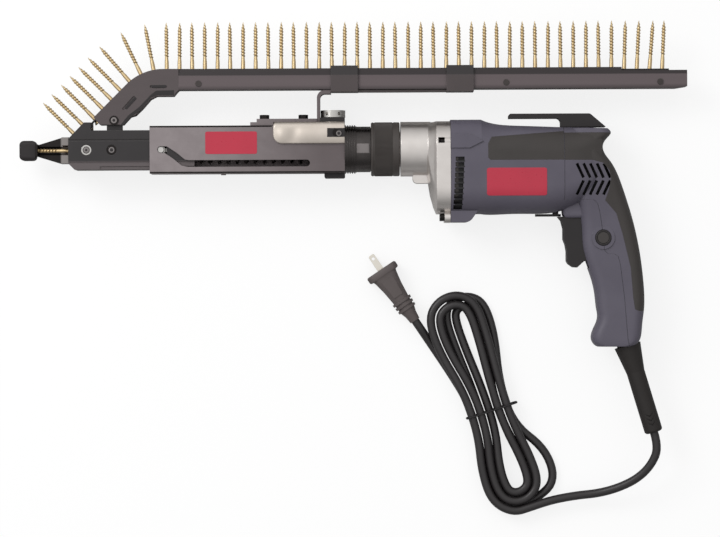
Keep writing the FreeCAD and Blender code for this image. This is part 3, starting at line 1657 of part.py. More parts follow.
def screw_profile():
    """One screw about X: the strip's line at 0, the head behind it, the point towards -X."""
    head_back = d.screw_head_length
    tip = -(d.screw_length - d.screw_head_length)
    clear = d.strip_thickness / 2
    rim_share = 0.25
    rim = head_back - d.screw_head_length * rim_share
    return [
        (head_back, 0), (head_back, d.screw_head_radius), (rim, d.screw_head_radius),
        (clear, d.screw_radius), (tip + d.screw_point, d.screw_radius), (tip, 0),
    ]


def screw_shape():
    points = [Vector(x, r, 0) for x, r in screw_profile()]
    outline = Part.makePolygon(points + points[:1])
    return Part.Face(outline).revolve(Vector(), Vector(1, 0, 0), 360)


screw = screw_shape()
last_screw = float(d.strip_pitch) * SCREW_COUNT + float(d.strip_lag)
screw_places = []
for index in range(1, SCREW_COUNT + 1):
    spot, lean = strip_point(float(d.strip_pitch) * index + float(d.strip_lag))
    screw_places.append(Placement(spot, Rotation(Vector(0, 0, 1), -lean)))


def placed(shape, placement):
    copy = shape.copy()
    copy.Placement = placement
    return copy


piece("collated_screws", feature(Part.makeCompound([placed(screw, place) for place in screw_places])))
strip_hole = Part.makeCylinder(
    float(d.screw_radius + d.seat_gap), float(d.strip_thickness * 6), Vector(-d.strip_thickness * 3, 0, 0),
    Vector(1, 0, 0)
)
strip_end = last_screw + float(d.strip_pitch) / 2
strip_start = float(d.strip_pitch) / 2
band = strip_band(-d.strip_thickness / 2, d.strip_thickness / 2, strip_start, strip_end, d.strip_half_width)
holes = [placed(strip_hole, place) for place in screw_places]
piece("screw_strip", feature(band.cut(holes)))

# Angled front guide: shares of (guide_run, guide_rise) for its lower edge, from the foot to the rail.
guide_lower_shares = [
    (0.075, 0.0), (0.345, 0.0), (0.43, 0.145), (0.49, 0.172), (0.572, 0.296), (0.668, 0.468), (0.738, 0.524),
    (0.94, 0.524), (0.975, 0.592),
]
guide_left = rail_front - d.guide_run
guide_points = [
    Vector(guide_left + d.guide_run * x, d.guide_foot_level + d.guide_rise * y, 0) for x,
    y in guide_lower_shares
]


def offset_point(along, offset):
    point, angle = strip_point(along)
    return point + Vector(-math.cos(math.radians(angle)), math.sin(math.radians(angle)), 0) * float(offset)


guide_toe_share = 0.02
guide_first = wrap_length + (float(guide_left + d.guide_run * guide_toe_share) - wrap_end.x) / float(diagonal)
outer_low = offset_point(guide_first, d.guide_lip)
outer_bend_start = offset_point(wrap_length + slope_length + 1e-6, d.guide_lip)
outer_bend_middle = offset_point(wrap_length + slope_length + bend_length / 2, d.guide_lip)
outer_bend_end = offset_point(wrap_length + slope_length + bend_length, d.guide_lip)
joint_top = Vector(rail_front, rail_top, 0)
joint_low = Vector(rail_front, d.rail_bottom, 0)
guide_edges = [
    Part.LineSegment(outer_low, outer_bend_start),
    Part.Arc(outer_bend_start, outer_bend_middle, outer_bend_end),
    Part.LineSegment(outer_bend_end, joint_top), Part.LineSegment(joint_top, joint_low),
]
loop = [joint_low] + list(reversed(guide_points)) + [outer_low]
guide_edges += [Part.LineSegment(a, b) for a, b in zip(loop, loop[1:])]
guide_face = Part.Face(Part.Wire([edge.toShape() for edge in guide_edges]))
guide_face.translate(Vector(0, 0, -float(d.guide_half_width)))
guide_block = feature(guide_face.extrude(Vector(0, 0, 2 * float(d.guide_half_width))))
guide_last = wrap_length + slope_length + bend_length + float(rail_front) - bend_end.x + float(d.overrun)
channel_half = d.sprocket_inset + d.sprocket_thickness - d.seat_gap * 2
channel_floor = -(d.screw_head_length + d.running_gap * 3)
guide_start = guide_first - float(d.overrun) * 4
channel = feature(
    strip_band(channel_floor, d.strip_thickness / 2 + d.seat_gap, guide_start, guide_last, channel_half)
)
mouth = feature(strip_band(0, d.guide_lip + d.overrun, guide_start, guide_last, d.guide_slot_half_width))
slide_front = -d.slide_front
slide_back = slide_front + d.slide_length
post_front = slide_front + d.post_start
post_back = post_front + d.post_length
pivot_x = post_front + d.post_length / 2
pivot_y = d.post_top - d.post_length / 4
post_room = box(
    post_front - d.running_gap, post_back + d.running_gap, 0, d.post_top + d.running_gap,
    -(d.post_half_width + d.seat_gap), d.post_half_width + d.seat_gap,
)
pivot_bore = cylinder(
    d.pivot_shank_radius + d.seat_gap, d.guide_half_width * 2 + d.overrun * 2, pivot_x, pivot_y,
    -d.guide_half_width - d.overrun, "Z",
)
# Narrow recesses on both faces of the guide, end to end: shares of (guide_run, guide_rise).
guide_recess_shares = [((0.346, 0.271), (0.489, 0.517)), ((0.664, 0.695), (0.849, 0.695))]
recess_half = float(d.guide_recess_width) / 2
recess_round_share = 0.95
guide_recesses = []
for ends in guide_recess_shares:
    near, far = [
        Vector(guide_left + d.guide_run * x, d.guide_foot_level + d.guide_rise * y, 0) for x, y in ends
    ]
    way = far - near
    way.normalize()
    across = Vector(-way.y, way.x, 0) * recess_half
    corners = [near + across, near - across, far - across, far + across]
    outline = [(point.x, point.y, recess_half * recess_round_share) for point in corners]
    guide_recesses.append(padded(outline, d.guide_half_width - d.guide_recess_depth, deep))
    guide_recesses.append(padded(outline, -deep, -(d.guide_half_width - d.guide_recess_depth)))
piece("rail_front_guide", cut(guide_block, channel, mouth, post_room, pivot_bore, *guide_recesses))

# Small screws of the rail: shares of its length from the front, one level, both faces; and the pivot screw.
rail_screw_shares = [0.039, 0.644, 0.947]
rail_length = d.rail_end + d.rail_start
rail_screw_level_share = 0.45
rail_screw_level = d.rail_bottom + d.rail_shoulder * rail_screw_level_share
rail_screw_solids = []
for share in rail_screw_shares:
    for z in (d.rail_half_width, -d.rail_half_width - d.rail_screw_height):
        rail_screw_solids.append(
            cylinder(
                d.rail_screw_radius, d.rail_screw_height, rail_front + rail_length * share, rail_screw_level,
                z, "Z"
            )
        )
pivot_length = d.guide_half_width * 2 + d.rail_screw_height * 2
pivot_screw = fuse(
    cylinder(d.pivot_shank_radius, pivot_length, pivot_x, pivot_y, -pivot_length / 2, "Z"),
    cylinder(d.pivot_screw_radius, d.rail_screw_height, pivot_x, pivot_y, d.guide_half_width, "Z"),
    cylinder(
        d.pivot_screw_radius, d.rail_screw_height, pivot_x, pivot_y,
        -d.guide_half_width - d.rail_screw_height, "Z"
    ),
)
piece("rail_screws", group(*rail_screw_solids, pivot_screw))


# Slide body with the feed sprocket, the lever and the nose

# Ear beside the strip's entry, back edge and length: shares of axle_head_radius. It stays clear of the
# housing when the slide is pushed in.
ear_shares = (0.85, 1.3)
# Front edge of the slide, below, above and along its chamfer: shares of slide_half_height.
slide_front_shares = (0.68, 0.58, 0.32)
# Window in which the cam pin swings, before and behind it: shares of lever_arm.
pin_window_shares = (0.16, 0.12)
ear_back = sprocket_x + d.axle_head_radius * ear_shares[0]
ear_front = ear_back - d.axle_head_radius * ear_shares[1]
slide_block = padded(
    [
        (slide_front, -d.slide_half_height * slide_front_shares[0]),
        (slide_front, d.slide_half_height * slide_front_shares[1]),
        (ear_front, d.slide_ear_top), (ear_back, d.slide_ear_top), (ear_back, d.slide_half_height),
        (slide_back, d.slide_half_height), (slide_back, -d.slide_half_height),
        (slide_front + d.slide_half_height * slide_front_shares[2], -d.slide_half_height),
    ],
    -d.slide_half_width, d.slide_half_width,
)
post = box(
    post_front, post_back, d.slide_half_height - d.slide_skin, d.post_top, -d.post_half_width,
    d.post_half_width
)
room_half_height = d.slide_half_height - d.slide_skin
room_half_width = d.slide_half_width - d.slide_wall
slide_room = box(
    slide_front - d.overrun, slide_back - d.slide_rear_wall, -room_half_height, room_half_height,
    -room_half_width, room_half_width,
)
strip_entry = box(
    slide_front - d.overrun, post_front, 0, d.slide_ear_top + d.overrun, -channel_half, channel_half
)
lever_pivot_x = housing_front + d.slot_lead - d.lever_arm
screw_head_room = d.axle_head_radius + d.seat_gap
tab_outer = room_half_width - d.running_gap
tab_inner = tab_outer - d.tab_thickness
lever_outer = tab_inner - d.running_gap
lever_inner = lever_outer - d.feed_lever_thickness
head_floor = d.slide_half_width - d.axle_head_height - d.seat_gap
pin_x = lever_pivot_x + d.lever_arm
pin_window = box(
    pin_x - d.lever_arm * pin_window_shares[0], pin_x + d.lever_arm * pin_window_shares[1],
    -d.slide_half_height - d.overrun, d.slot_width, room_half_width - d.overrun,
    d.slide_half_width + d.overrun,
)


groove_floor = d.slide_half_width - d.groove_depth
side_grooves = [
    mirrored_box(
        slide_front - d.overrun, slide_back + d.overrun, level, level + d.groove_width, groove_floor, deep
    )
    for level in (d.groove_level, -d.groove_drop)
]
lower_step = mirrored_box(
    slide_front + d.step_start, slide_back + d.overrun, -d.slide_half_height - d.overrun,
    d.step_rise - d.slide_half_height, groove_floor, deep,
)


def side_bores(x, shank, head, floor):
    bores = []
    for side in (-1, 1):
        low = floor if side > 0 else -(floor + d.overrun * 2)
        bores.append(cylinder(head, d.overrun * 2, x, 0, low, "Z"))
    bores.append(
        cylinder(shank, d.slide_half_width * 2 + d.overrun * 2, x, 0, -d.slide_half_width - d.overrun, "Z")
    )
    return bores


piece("slide_body", cut(
    fuse(slide_block, post), slide_room, strip_entry, pin_window, pivot_bore, *side_grooves, lower_step,
    *side_bores(sprocket_x, d.axle_radius + d.seat_gap, screw_head_room, head_floor - d.seat_gap),
    *side_bores(lever_pivot_x, d.axle_radius + d.seat_gap, screw_head_room, head_floor - d.seat_gap),
    cylinder(
        d.spindle_radius + d.running_gap * 2, d.slide_rear_wall + d.overrun * 2,
        slide_back - d.slide_rear_wall - d.overrun
    ),
))


def flush_pin(x, side, inner):
    """Round pin with a flat socket head that lies flush in the slide body's side."""
    head_low = head_floor if side > 0 else -head_floor - d.axle_head_height
    shank_low = inner if side > 0 else -head_floor
    head = cylinder(d.axle_head_radius, d.axle_head_height, x, 0, head_low, "Z")
    shank = cylinder(d.axle_radius, head_floor - inner, x, 0, shank_low, "Z")
    socket = padded(hexagon(d.socket_radius), 0, d.socket_depth + d.overrun)
    head_top = head_floor + d.axle_head_height
    put(socket, x, 0, head_top - d.socket_depth if side > 0 else -head_top - d.overrun)
    return cut(fuse(head, shank), socket)


disc_outer = d.sprocket_inset + d.sprocket_thickness
piece("sprocket_axles", group(*[flush_pin(sprocket_x, side, d.sprocket_inset) for side in (-1, 1)]))
piece("nosepiece_screws", group(*[flush_pin(lever_pivot_x, side, lever_inner) for side in (-1, 1)]))

# Feed sprocket: two toothed discs along the strip's edges, the bit passing between them.
disc_radius = float(sprocket_radius) - float(d.strip_thickness) / 2 - float(d.running_gap)
sprocket_solids = []
for side in (-1, 1):
    low = float(d.sprocket_inset) if side > 0 else -float(disc_outer)
    disc = Part.makeCylinder(disc_radius, float(d.sprocket_thickness), Vector(0, 0, low))
    teeth = []
    for index in range(SPROCKET_TEETH):
        half = float(d.sprocket_tooth_width) / 2
        tooth = Part.makeBox(
            float(d.running_gap + d.strip_thickness + d.sprocket_tooth_height), 2 * half,
            float(d.sprocket_thickness),
            Vector(disc_radius - float(d.running_gap), -half, low),
        )
        along = float(d.strip_pitch) * (index + 0.5) + float(d.strip_lag)
        tooth.rotate(Vector(), Vector(0, 0, 1), 180 - math.degrees(along / float(sprocket_radius)))
        teeth.append(tooth)
    bore = Part.makeCylinder(
        float(d.axle_radius + d.shaft_gap), float(d.sprocket_thickness), Vector(0, 0, low)
    )
    sprocket_solids.append(disc.fuse(teeth).cut(bore))
piece("feed_sprocket", feature(Part.makeCompound(sprocket_solids)), x=sprocket_x)

lever_blank = fuse(
    box(
        lever_pivot_x, lever_pivot_x + d.lever_arm, -d.feed_lever_width / 2, d.feed_lever_width / 2,
        lever_inner, lever_outer
    ),
    cylinder(
        d.feed_lever_width / 2 + d.axle_radius / 2, d.feed_lever_thickness, lever_pivot_x, 0, lever_inner, "Z"
    ),
    cylinder(
        d.feed_lever_width / 2, d.feed_lever_thickness, lever_pivot_x + d.lever_arm, 0, lever_inner, "Z"
    ),
)
pin_end = cavity_half_width - d.running_gap
cam_pin = cylinder(d.cam_pin_radius, pin_end - lever_outer, lever_pivot_x + d.lever_arm, 0, lever_outer, "Z")
piece("feed_lever", cut(
    fuse(lever_blank, cam_pin),
    cylinder(
        d.axle_radius + d.shaft_gap, d.feed_lever_thickness + d.overrun * 2, lever_pivot_x, 0,
        lever_inner - d.overrun, "Z"
    ),
))

fork_front = -(d.nose_tip - d.bumper_length)
fork_back = slide_front
fork = padded(
    [
        (fork_front, -d.nose_fork_front), (fork_front, d.nose_fork_front),
        (fork_back - d.tab_thickness * 4, d.nose_fork_back),
        (fork_back, d.nose_fork_back), (fork_back, -d.nose_fork_back),
        (fork_back - d.tab_thickness * 4, -d.nose_fork_back),
    ],
    -tab_outer, tab_outer,
)
tabs = mirrored_box(
    fork_back - d.overrun, lever_pivot_x + d.tab_half_height, -d.tab_half_height, d.tab_half_height,
    tab_inner, tab_outer
)
window_front = fork_front + d.tab_thickness
nose_window = box(
    window_front, window_front + d.nose_window_length, -d.nose_fork_back, d.nose_fork_back,
    -d.nose_bore / 2, tab_outer + d.overrun,
)
# The band behind the window is open over the screw.
band_slot = box(
    window_front, fork_back + d.overrun, -d.nose_bore, d.nose_bore, 0, tab_outer + d.overrun
)
pin_clear = [
    cylinder(d.axle_radius + d.seat_gap, tab_outer * 2 + d.overrun * 2, x, 0, -tab_outer - d.overrun, "Z")
    for x in (sprocket_x, lever_pivot_x)
]
nose_bore = cylinder(d.nose_bore, d.nose_fork_length + d.overrun * 2, fork_front - d.overrun)
piece("nosepiece", cut(fuse(fork, tabs), nose_window, band_slot, nose_bore, *pin_clear))
bumper_front = -d.nose_tip
bumper_block = padded(
    rectangle(d.bumper_half_height, d.bumper_half_width, d.bumper_corner),
    bumper_front, fork_front, "YZ_Plane",
)
bumper_outline = padded(
    [
        (bumper_front, -d.bumper_half_height, d.bumper_round),
        (fork_front, -d.bumper_half_height, d.bumper_corner),
        (fork_front, d.bumper_half_height, d.bumper_corner),
        (bumper_front, d.bumper_half_height, d.bumper_round),
    ],
    -deep, deep,
)
piece("nose_bumper", cut(
    common(bumper_block, bumper_outline),
    cylinder(d.nose_bore, d.bumper_length + d.overrun * 2, bumper_front - d.overrun),
))


# Drive bit and the screw in front of it

drive_plane = sprocket_x - sprocket_radius
head_back = drive_plane + d.screw_head_length
bit_front = head_back + d.seat_gap
recess = cylinder(
    d.bit_tip_radius + d.seat_gap, d.bit_tip_length + d.overrun,
    d.screw_head_length - d.bit_tip_length - d.seat_gap
)
piece("drive_screw", cut(feature(screw), recess), x=drive_plane)
bit_back = spindle_front + d.bit_grip - d.seat_gap
piece("drive_bit", fuse(
    padded(hexagon(bit_round), bit_front, bit_back, "YZ_Plane"),
    cylinder(d.bit_tip_radius, d.bit_tip_length, bit_front - d.bit_tip_length),
))


# Tubes on arcs: the return spring and the cord

def biarc(start, start_way, end, end_way):
    """Two tangent arcs from start to end that leave and arrive along the given ways."""
    chord = end - start
    ways = start_way + end_way
    bend = 2 * (1 - start_way.dot(end_way))
    along = chord.dot(ways)
    if bend < 1e-9:
        reach = chord.dot(chord) / (4 * chord.dot(end_way))
    else:
        reach = (-along + math.sqrt(along * along + bend * chord.dot(chord))) / bend
    first_knee = start + start_way * reach
    second_knee = end - end_way * reach
    middle = (first_knee + second_knee) * 0.5
    return [arc_edge(start, first_knee, middle), arc_edge(middle, second_knee, end)]


def arc_edge(start, knee, end):
    """Arc that leaves start towards the knee and comes into end from it."""
    half = (start + end) * 0.5
    rise = knee - half
    if rise.Length < 1e-6:
        return Part.LineSegment(start, end).toShape()
    half_chord = (end - start).Length / 2
    turn = math.atan2(rise.Length, half_chord)
    top = half + rise * (half_chord * math.tan(turn / 2) / rise.Length)
    return Part.Arc(start, top, end).toShape()


def tube(edges, radius):
    path = Part.Wire(edges)
    first = path.Edges[0]
    start = first.valueAt(first.FirstParameter)
    way = first.tangentAt(first.FirstParameter)
    profile = Part.Wire(Part.makeCircle(radius, start, way))
    solid = path.makePipeShell([profile], True, False)
    if solid.Volume < 0:
        solid.reverse()
    return solid, path.Length


def report_tube(label, solid, length, radius):
    ideal = math.pi * radius * radius * length
    print(f"{label}: length {length:.1f}, volume over section x length {solid.Volume / ideal:.4f}")


def least_gap(points, spacing, diameter):
    """Least clear distance of a tube to itself, on points further apart along it than a half turn."""
    skip = int(1.6 * diameter / spacing) + 1
    best = 1e9
    for index, here in enumerate(points):
        for other in points[index + skip:]:
            gap = (here - other).Length
            if gap < best:
                best = gap
    return best - diameter


def path_points(edges, spacing):
    points = []
    for edge in edges:
        count = max(2, int(edge.Length / spacing))
        points += edge.discretize(count)[:-1]
    return points


spring_front = slide_back + d.seat_gap
spring_back = block_start - d.seat_gap
spring_wire_radius = float(d.spring_wire) / 2
helix_start = float(spring_front) + spring_wire_radius
helix_length = float(spring_back - spring_front) - 2 * spring_wire_radius


def spring_point(turns):
    angle = turns * math.tau
    x = helix_start + helix_length * turns / SPRING_TURNS
    radius = float(d.spring_radius)
    way = Vector(helix_length / SPRING_TURNS / math.tau, -radius * math.sin(angle), radius * math.cos(angle))
    way.normalize()
    return Vector(x, radius * math.cos(angle), radius * math.sin(angle)), way


spring_edges = []
for quarter in range(SPRING_TURNS * 4):
    spring_edges += biarc(*spring_point(quarter / 4), *spring_point((quarter + 1) / 4))
spring_solid, spring_length = tube(spring_edges, spring_wire_radius)
report_tube("return_spring", spring_solid, spring_length, spring_wire_radius)
spring_spacing = float(d.spring_wire)
spring_gap = least_gap(path_points(spring_edges, spring_spacing), spring_spacing, float(d.spring_wire))
print(f"return_spring: least gap to itself {spring_gap:.2f}")
piece("return_spring", feature(spring_solid))


# Cord: lead from the strain relief, hank with its tie, tail to the plug

cord_radius = float(d.cord_diameter) / 2
floor = -float(d.barrel_half_width)


def photo_point(px, py, height):
    """Point from the photograph's pixels (one millimetre each), at a height above the floor."""
    return Vector(px - DRIVE_PIXEL[0], DRIVE_PIXEL[1] - py, floor + height)


hank_middle = photo_point(492, 412, 0)
hank_way = Vector(0.311, -0.950, 0)
hank_way.normalize()
hank_side = Vector(-hank_way.y, hank_way.x, 0)


def hank_spot(along, side, height):
    return hank_middle + hank_way * along + hank_side * side + Vector(0, 0, height)


# Eight stations to a turn, from the bottom fold up the left side, over the top and down the right side.
# The spiral draws in until the reversal, where the cord drops to the lower layer along a run, then widens.
HANK_LAST = HANK_TURNS * 8 + 2
LOOSE_STATION = HANK_LAST - 3
REVERSAL = 18
lower_level = cord_radius + float(d.seat_gap)
step = float(d.hank_step)


def hank_station(index):
    """Position and way of the cord at one station."""
    phase = index % 8
    grow = abs(index - REVERSAL) / 8 * step
    upper = 1 if index < REVERSAL else 0.5 if index == REVERSAL else 0
    fan = float(d.hank_fan) * (1 - 2 * upper)
    fold = float(d.hank_fold) + grow
    at_waist = phase in (2, 6)
    height = lower_level + upper * float(d.hank_layer) + (float(d.hank_lift) if at_waist else 0)
    waist = float(d.hank_waist) + grow
    bottom_run = float(d.hank_bottom) - fold + grow
    top_run = float(d.hank_top) - fold + grow
    way_up = hank_way * -1
    stations = {
        0: (bottom_run + fold, 0, hank_side * -1),
        1: (bottom_run, -fold, way_up),
        2: (0, -waist, way_up),
        3: (-top_run, -fold + fan, way_up),
        4: (-top_run - fold, fan, hank_side),
        5: (-top_run, fold + fan, hank_way),
        6: (0, waist, hank_way),
        7: (bottom_run, fold + (float(d.hank_loose) if index == LOOSE_STATION else 0), hank_way),
    }
    along, side, way = stations[phase]
    return hank_spot(along, side, height), way


hank_edges = []
first_spot, first_way = hank_station(0)
hank_edges.append(Part.LineSegment(first_spot - first_way * float(d.cord_diameter), first_spot).toShape())
for index in range(HANK_LAST):
    hank_edges += biarc(*hank_station(index), *hank_station(index + 1))
last_spot, last_way = hank_station(HANK_LAST)
hank_edges.append(Part.LineSegment(last_spot, last_spot + last_way * float(d.cord_diameter)).toShape())
hank_solid, hank_length = tube(hank_edges, cord_radius)
report_tube("cord_hank", hank_solid, hank_length, cord_radius)
spot_spacing = cord_radius / 2
hank_gap = least_gap(path_points(hank_edges, spot_spacing), spot_spacing, float(d.cord_diameter))
print(f"cord_hank: least gap to itself {hank_gap:.2f}")
piece("cord_hank", feature(hank_solid), cord=True)


arc_reach_share = 0.45


def route_edges(points):
    """Straight runs joined by tangent arcs, each as large as its two runs allow."""
    edges = []
    here = points[0]
    radii = []
    for before, corner, after in zip(points, points[1:], points[2:]):
        back = before - corner
        ahead = after - corner
        reach = arc_reach_share * min(back.Length, ahead.Length)
        turn = math.pi - back.getAngle(ahead)
        radii.append(reach / math.tan(turn / 2))
        back.normalize()
        ahead.normalize()
        start = corner + back * reach
        end = corner + ahead * reach
        edges.append(Part.LineSegment(here, start).toShape())
        edges.append(arc_edge(start, corner, end))
        here = end
    edges.append(Part.LineSegment(here, points[-1]).toShape())
    return edges, radii


def route_tube(label, points):
    edges, radii = route_edges(points)
    solid, length = tube(edges, cord_radius)
    report_tube(label, solid, length, cord_radius)
    shown = " ".join(f"{radius / float(d.cord_diameter):.1f}" for radius in radii)
    print(f"{label}: radii in diameters {shown}")
    return feature(solid)


strain_root = Vector(strain_x, strain_y, 0)
cord_exit = strain_root + strain_axis * float(strain_end)
lead_points = [
    cord_exit,
    cord_exit + strain_axis * 16,
    photo_point(651, 466, 32),
    photo_point(638, 480, 27),
    photo_point(619, 490, 21),
    photo_point(598, 496, 15.5),
    photo_point(577, 498, 13.4),
    first_spot - first_way * 29,
    first_spot - first_way * float(d.cord_diameter),
]
piece("cord_lead", route_tube("cord_lead", lead_points), cord=True)

plug_way = Vector(-0.557, 0.830, 0)
plug_way.normalize()
plug_tail = photo_point(415.3, 321.3, float(d.plug_face_height) / 2)
tail_start = last_spot + last_way * float(d.cord_diameter)
tail_points = [
    tail_start,
    tail_start + last_way * 9,
    hank_spot(-33, -23.6, 4.8),
    plug_tail - plug_way * 54 - Vector(0, 0, 7.6),
    plug_tail - plug_way * 33 - Vector(0, 0, 7.6),
    plug_tail - plug_way * 20 - Vector(0, 0, 4.4),
    plug_tail - plug_way * 9,
    plug_tail,
]
piece("cord_tail", route_tube("cord_tail", tail_points), cord=True)

# Tie round the waist: a closed wire in the plane across the hank.
tie_radius = float(d.tie_wire) / 2
tie_half = float(d.hank_waist) + step * 2 + cord_radius + tie_radius + float(d.running_gap)
tie_low = tie_radius + float(d.seat_gap)
waist_top = lower_level + float(d.hank_lift) + float(d.hank_layer) + cord_radius
tie_high = waist_top + tie_radius + float(d.running_gap)
tie_corners = [
    (-tie_half, tie_low, cord_radius), (tie_half, tie_low, cord_radius),
    (tie_half, tie_high, cord_radius), (-tie_half, tie_high, cord_radius),
]


def tie_spot(point):
    return hank_spot(0, point.x, point.y)


tie_edges = []
for edge in corner_edges(tie_corners):
    start = tie_spot(edge.StartPoint)
    end = tie_spot(edge.EndPoint)
    if isinstance(edge, Part.LineSegment):
        tie_edges.append(Part.LineSegment(start, end).toShape())
    else:
        middle = tie_spot(edge.value((edge.FirstParameter + edge.LastParameter) / 2))
        tie_edges.append(Part.Arc(start, middle, end).toShape())
tie_path = Part.Wire(Part.__sortEdges__(tie_edges))
tie_first = tie_path.Edges[0]
tie_start = tie_first.valueAt(tie_first.FirstParameter)
tie_profile = Part.Wire(Part.makeCircle(tie_radius, tie_start, tie_first.tangentAt(tie_first.FirstParameter)))
piece("cord_tie", feature(tie_path.makePipeShell([tie_profile], True, False)), cord=True)

# Plug: flanged face, tapering body and neck, about X with the blades towards +X.
half_width = float(d.plug_face_width) / 2
half_height = float(d.plug_face_height) / 2
corner = float(d.plug_corner)
plug_length = float(d.plug_length)
flange_back = plug_length - float(d.plug_flange)
# Sections from the tail to the flange: shares of (length to the flange, half width, half height, corner).
plug_section_shares = [
    (0.0, 0.33, 0.46, 0.72), (0.22, 0.52, 0.72, 1.1), (0.5, 0.55, 0.76, 1.1), (0.78, 0.66, 0.88, 1.1),
    (1.0, 0.72, 0.92, 1.0),
]
plug_rows = [
    section_x(
        flange_back * along, half_width * width, -half_width * width, half_height * height, corner * rounding
    )
    for along, width, height, rounding in plug_section_shares
]
flange_rows = [
    section_x(x, half_width, -half_width, half_height, corner) for x in (flange_back, plug_length)
]
plug_turn = Rotation(Vector(1, 0, 0), plug_way)
plug_solid = Part.makeLoft(plug_rows, True, True).fuse(Part.makeLoft(flange_rows, True, True))
piece("plug_body", feature(plug_solid), plug_tail.x, plug_tail.y, plug_tail.z, plug_turn, cord=True)
blade_half = d.blade_width / 2
blade_hole_share = 0.75
blade_solids = []
for side in (-1, 1):
    middle = d.blade_spacing / 2 * side
    blade = padded(
        [
            (d.plug_length, -blade_half), (d.plug_length + d.blade_length, -blade_half, d.blade_width / 4),
            (d.plug_length + d.blade_length, blade_half, d.blade_width / 4), (d.plug_length, blade_half),
        ],
        middle - d.blade_thickness / 2, middle + d.blade_thickness / 2,
    )
    hole_x = d.plug_length + d.blade_length * blade_hole_share
    blade_solids.append(cut(
        blade, cylinder(d.blade_hole, d.blade_spacing * 2, hole_x, 0, -d.blade_spacing, "Z")
    ))
piece("plug_blades", group(*blade_solids), plug_tail.x, plug_tail.y, plug_tail.z, plug_turn, cord=True)


# Origin, checks and export

doc.recompute()


def check(obj):
    if "Invalid" in obj.State or "Error" in obj.State:
        raise SystemExit(f"{obj.Label} ({obj.Name}) failed: {obj.State}")


for obj in doc.Objects:
    check(obj)
for label, (obj, offset, turn) in pieces.items():
    put(obj, *offset, turn)
doc.recompute()

bounds = FreeCAD.BoundBox()
for label, (obj, offset, turn) in pieces.items():
    if label not in cord_pieces:
        bounds.add(obj.Shape.optimalBoundingBox(False))
origin = Vector(-bounds.Center.x, -bounds.Center.y, d.barrel_half_width)
moves = []
for row, (name, value) in enumerate(zip(("origin_x", "origin_y", "origin_z"), origin), 1):
    place.set(f"A{row}", name)
    place.set(f"B{row}", repr(value))
    place.setAlias(f"B{row}", name)
    moves.append(Size(f"place.{name}", value))
doc.recompute()
for label, (obj, offset, turn) in pieces.items():
    put(obj, *[move + part for move, part in zip(moves, offset)], turn)
doc.recompute()

os.makedirs("parts", exist_ok=True)
for obj in doc.Objects:
    check(obj)
for label, (obj, offset, turn) in pieces.items():
    if obj.Shape.isNull() or not obj.Shape.isValid() or not obj.Shape.Solids:
        raise SystemExit(f"{label} has no valid shape")
for label, (obj, offset, turn) in pieces.items():
    obj.Shape.exportStep(f"parts/{label}.step")
print(f"{len(pieces)} pieces; origin moved by {origin.x:.3f}, {origin.y:.3f}, {origin.z:.3f}")
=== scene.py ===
import math

import bmesh
import bpy
from mathutils import Matrix, Vector
from mathutils.bvhtree import BVHTree


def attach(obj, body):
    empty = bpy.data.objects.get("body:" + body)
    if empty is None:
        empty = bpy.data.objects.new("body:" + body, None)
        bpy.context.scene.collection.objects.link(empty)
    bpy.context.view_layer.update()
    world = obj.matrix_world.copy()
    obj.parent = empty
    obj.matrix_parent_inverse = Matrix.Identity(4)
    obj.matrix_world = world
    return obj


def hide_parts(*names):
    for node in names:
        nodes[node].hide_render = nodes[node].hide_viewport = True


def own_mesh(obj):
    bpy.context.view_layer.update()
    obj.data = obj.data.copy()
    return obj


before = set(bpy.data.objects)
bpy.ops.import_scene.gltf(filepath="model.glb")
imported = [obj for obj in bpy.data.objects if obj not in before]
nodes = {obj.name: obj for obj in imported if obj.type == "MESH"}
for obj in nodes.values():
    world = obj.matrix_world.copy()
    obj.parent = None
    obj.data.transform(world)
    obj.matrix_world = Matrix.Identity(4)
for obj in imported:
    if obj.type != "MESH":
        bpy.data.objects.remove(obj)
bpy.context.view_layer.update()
scene = bpy.context.scene
scene.view_settings.view_transform = "Standard"

# The photograph looks straight down on the tool, which lies on its side on a white table.
# A long lens far above keeps the edges nearly parallel, and the tool is turned a quarter degree in the frame.
photo_width = 0.720
photo_pixels = Vector((720, 537))
photo_turn = math.radians(-0.27)
lens_height = 3.0
middle = Vector((0.0060, -0.0400, 0.0345))
camera_data = bpy.data.cameras.new("overhead_camera")
camera_data.sensor_width = 36
camera_data.lens = camera_data.sensor_width * lens_height / photo_width
camera = bpy.data.objects.new("overhead_camera", camera_data)
camera.location = middle + Vector((0, 0, lens_height))
camera.rotation_euler = (0, 0, photo_turn)
scene.collection.objects.link(camera)
scene.camera = camera


def photo_spot(across, down, height):
    """Place at a height that the photograph shows at a pixel, counted from its upper left corner."""
    scale = photo_width / photo_pixels.x * (lens_height + middle.z - height) / lens_height
    right = (across - photo_pixels.x / 2) * scale
    up = (photo_pixels.y / 2 - down) * scale
    return Vector((
        middle.x + right * math.cos(photo_turn) - up * math.sin(photo_turn),
        middle.y + right * math.sin(photo_turn) + up * math.cos(photo_turn),
        height,
    ))


# White table top in a studio: a soft white ceiling over a darker room, and one large lamp beside the nose.
# The camera sees the table and the room as white, and the table keeps a soft shadow.
def linear(code):
    """Linear colour from an sRGB hex value."""
    parts = [int(code[k:k + 2], 16) / 255 for k in (1, 3, 5)]
    return tuple(p / 12.92 if p <= 0.04045 else ((p + 0.055) / 1.055) ** 2.4 for p in parts) + (1.0,)


def connect(tree, target, inputs):
    """Sets a node's inputs, by name or number, to values, or links them to (node, output) pairs."""
    for name, value in inputs.items():
        if isinstance(value, tuple) and isinstance(value[0], bpy.types.Node):
            source, output = value
            tree.links.new(source.outputs[output], target.inputs[name])
        else:
            target.inputs[name].default_value = value


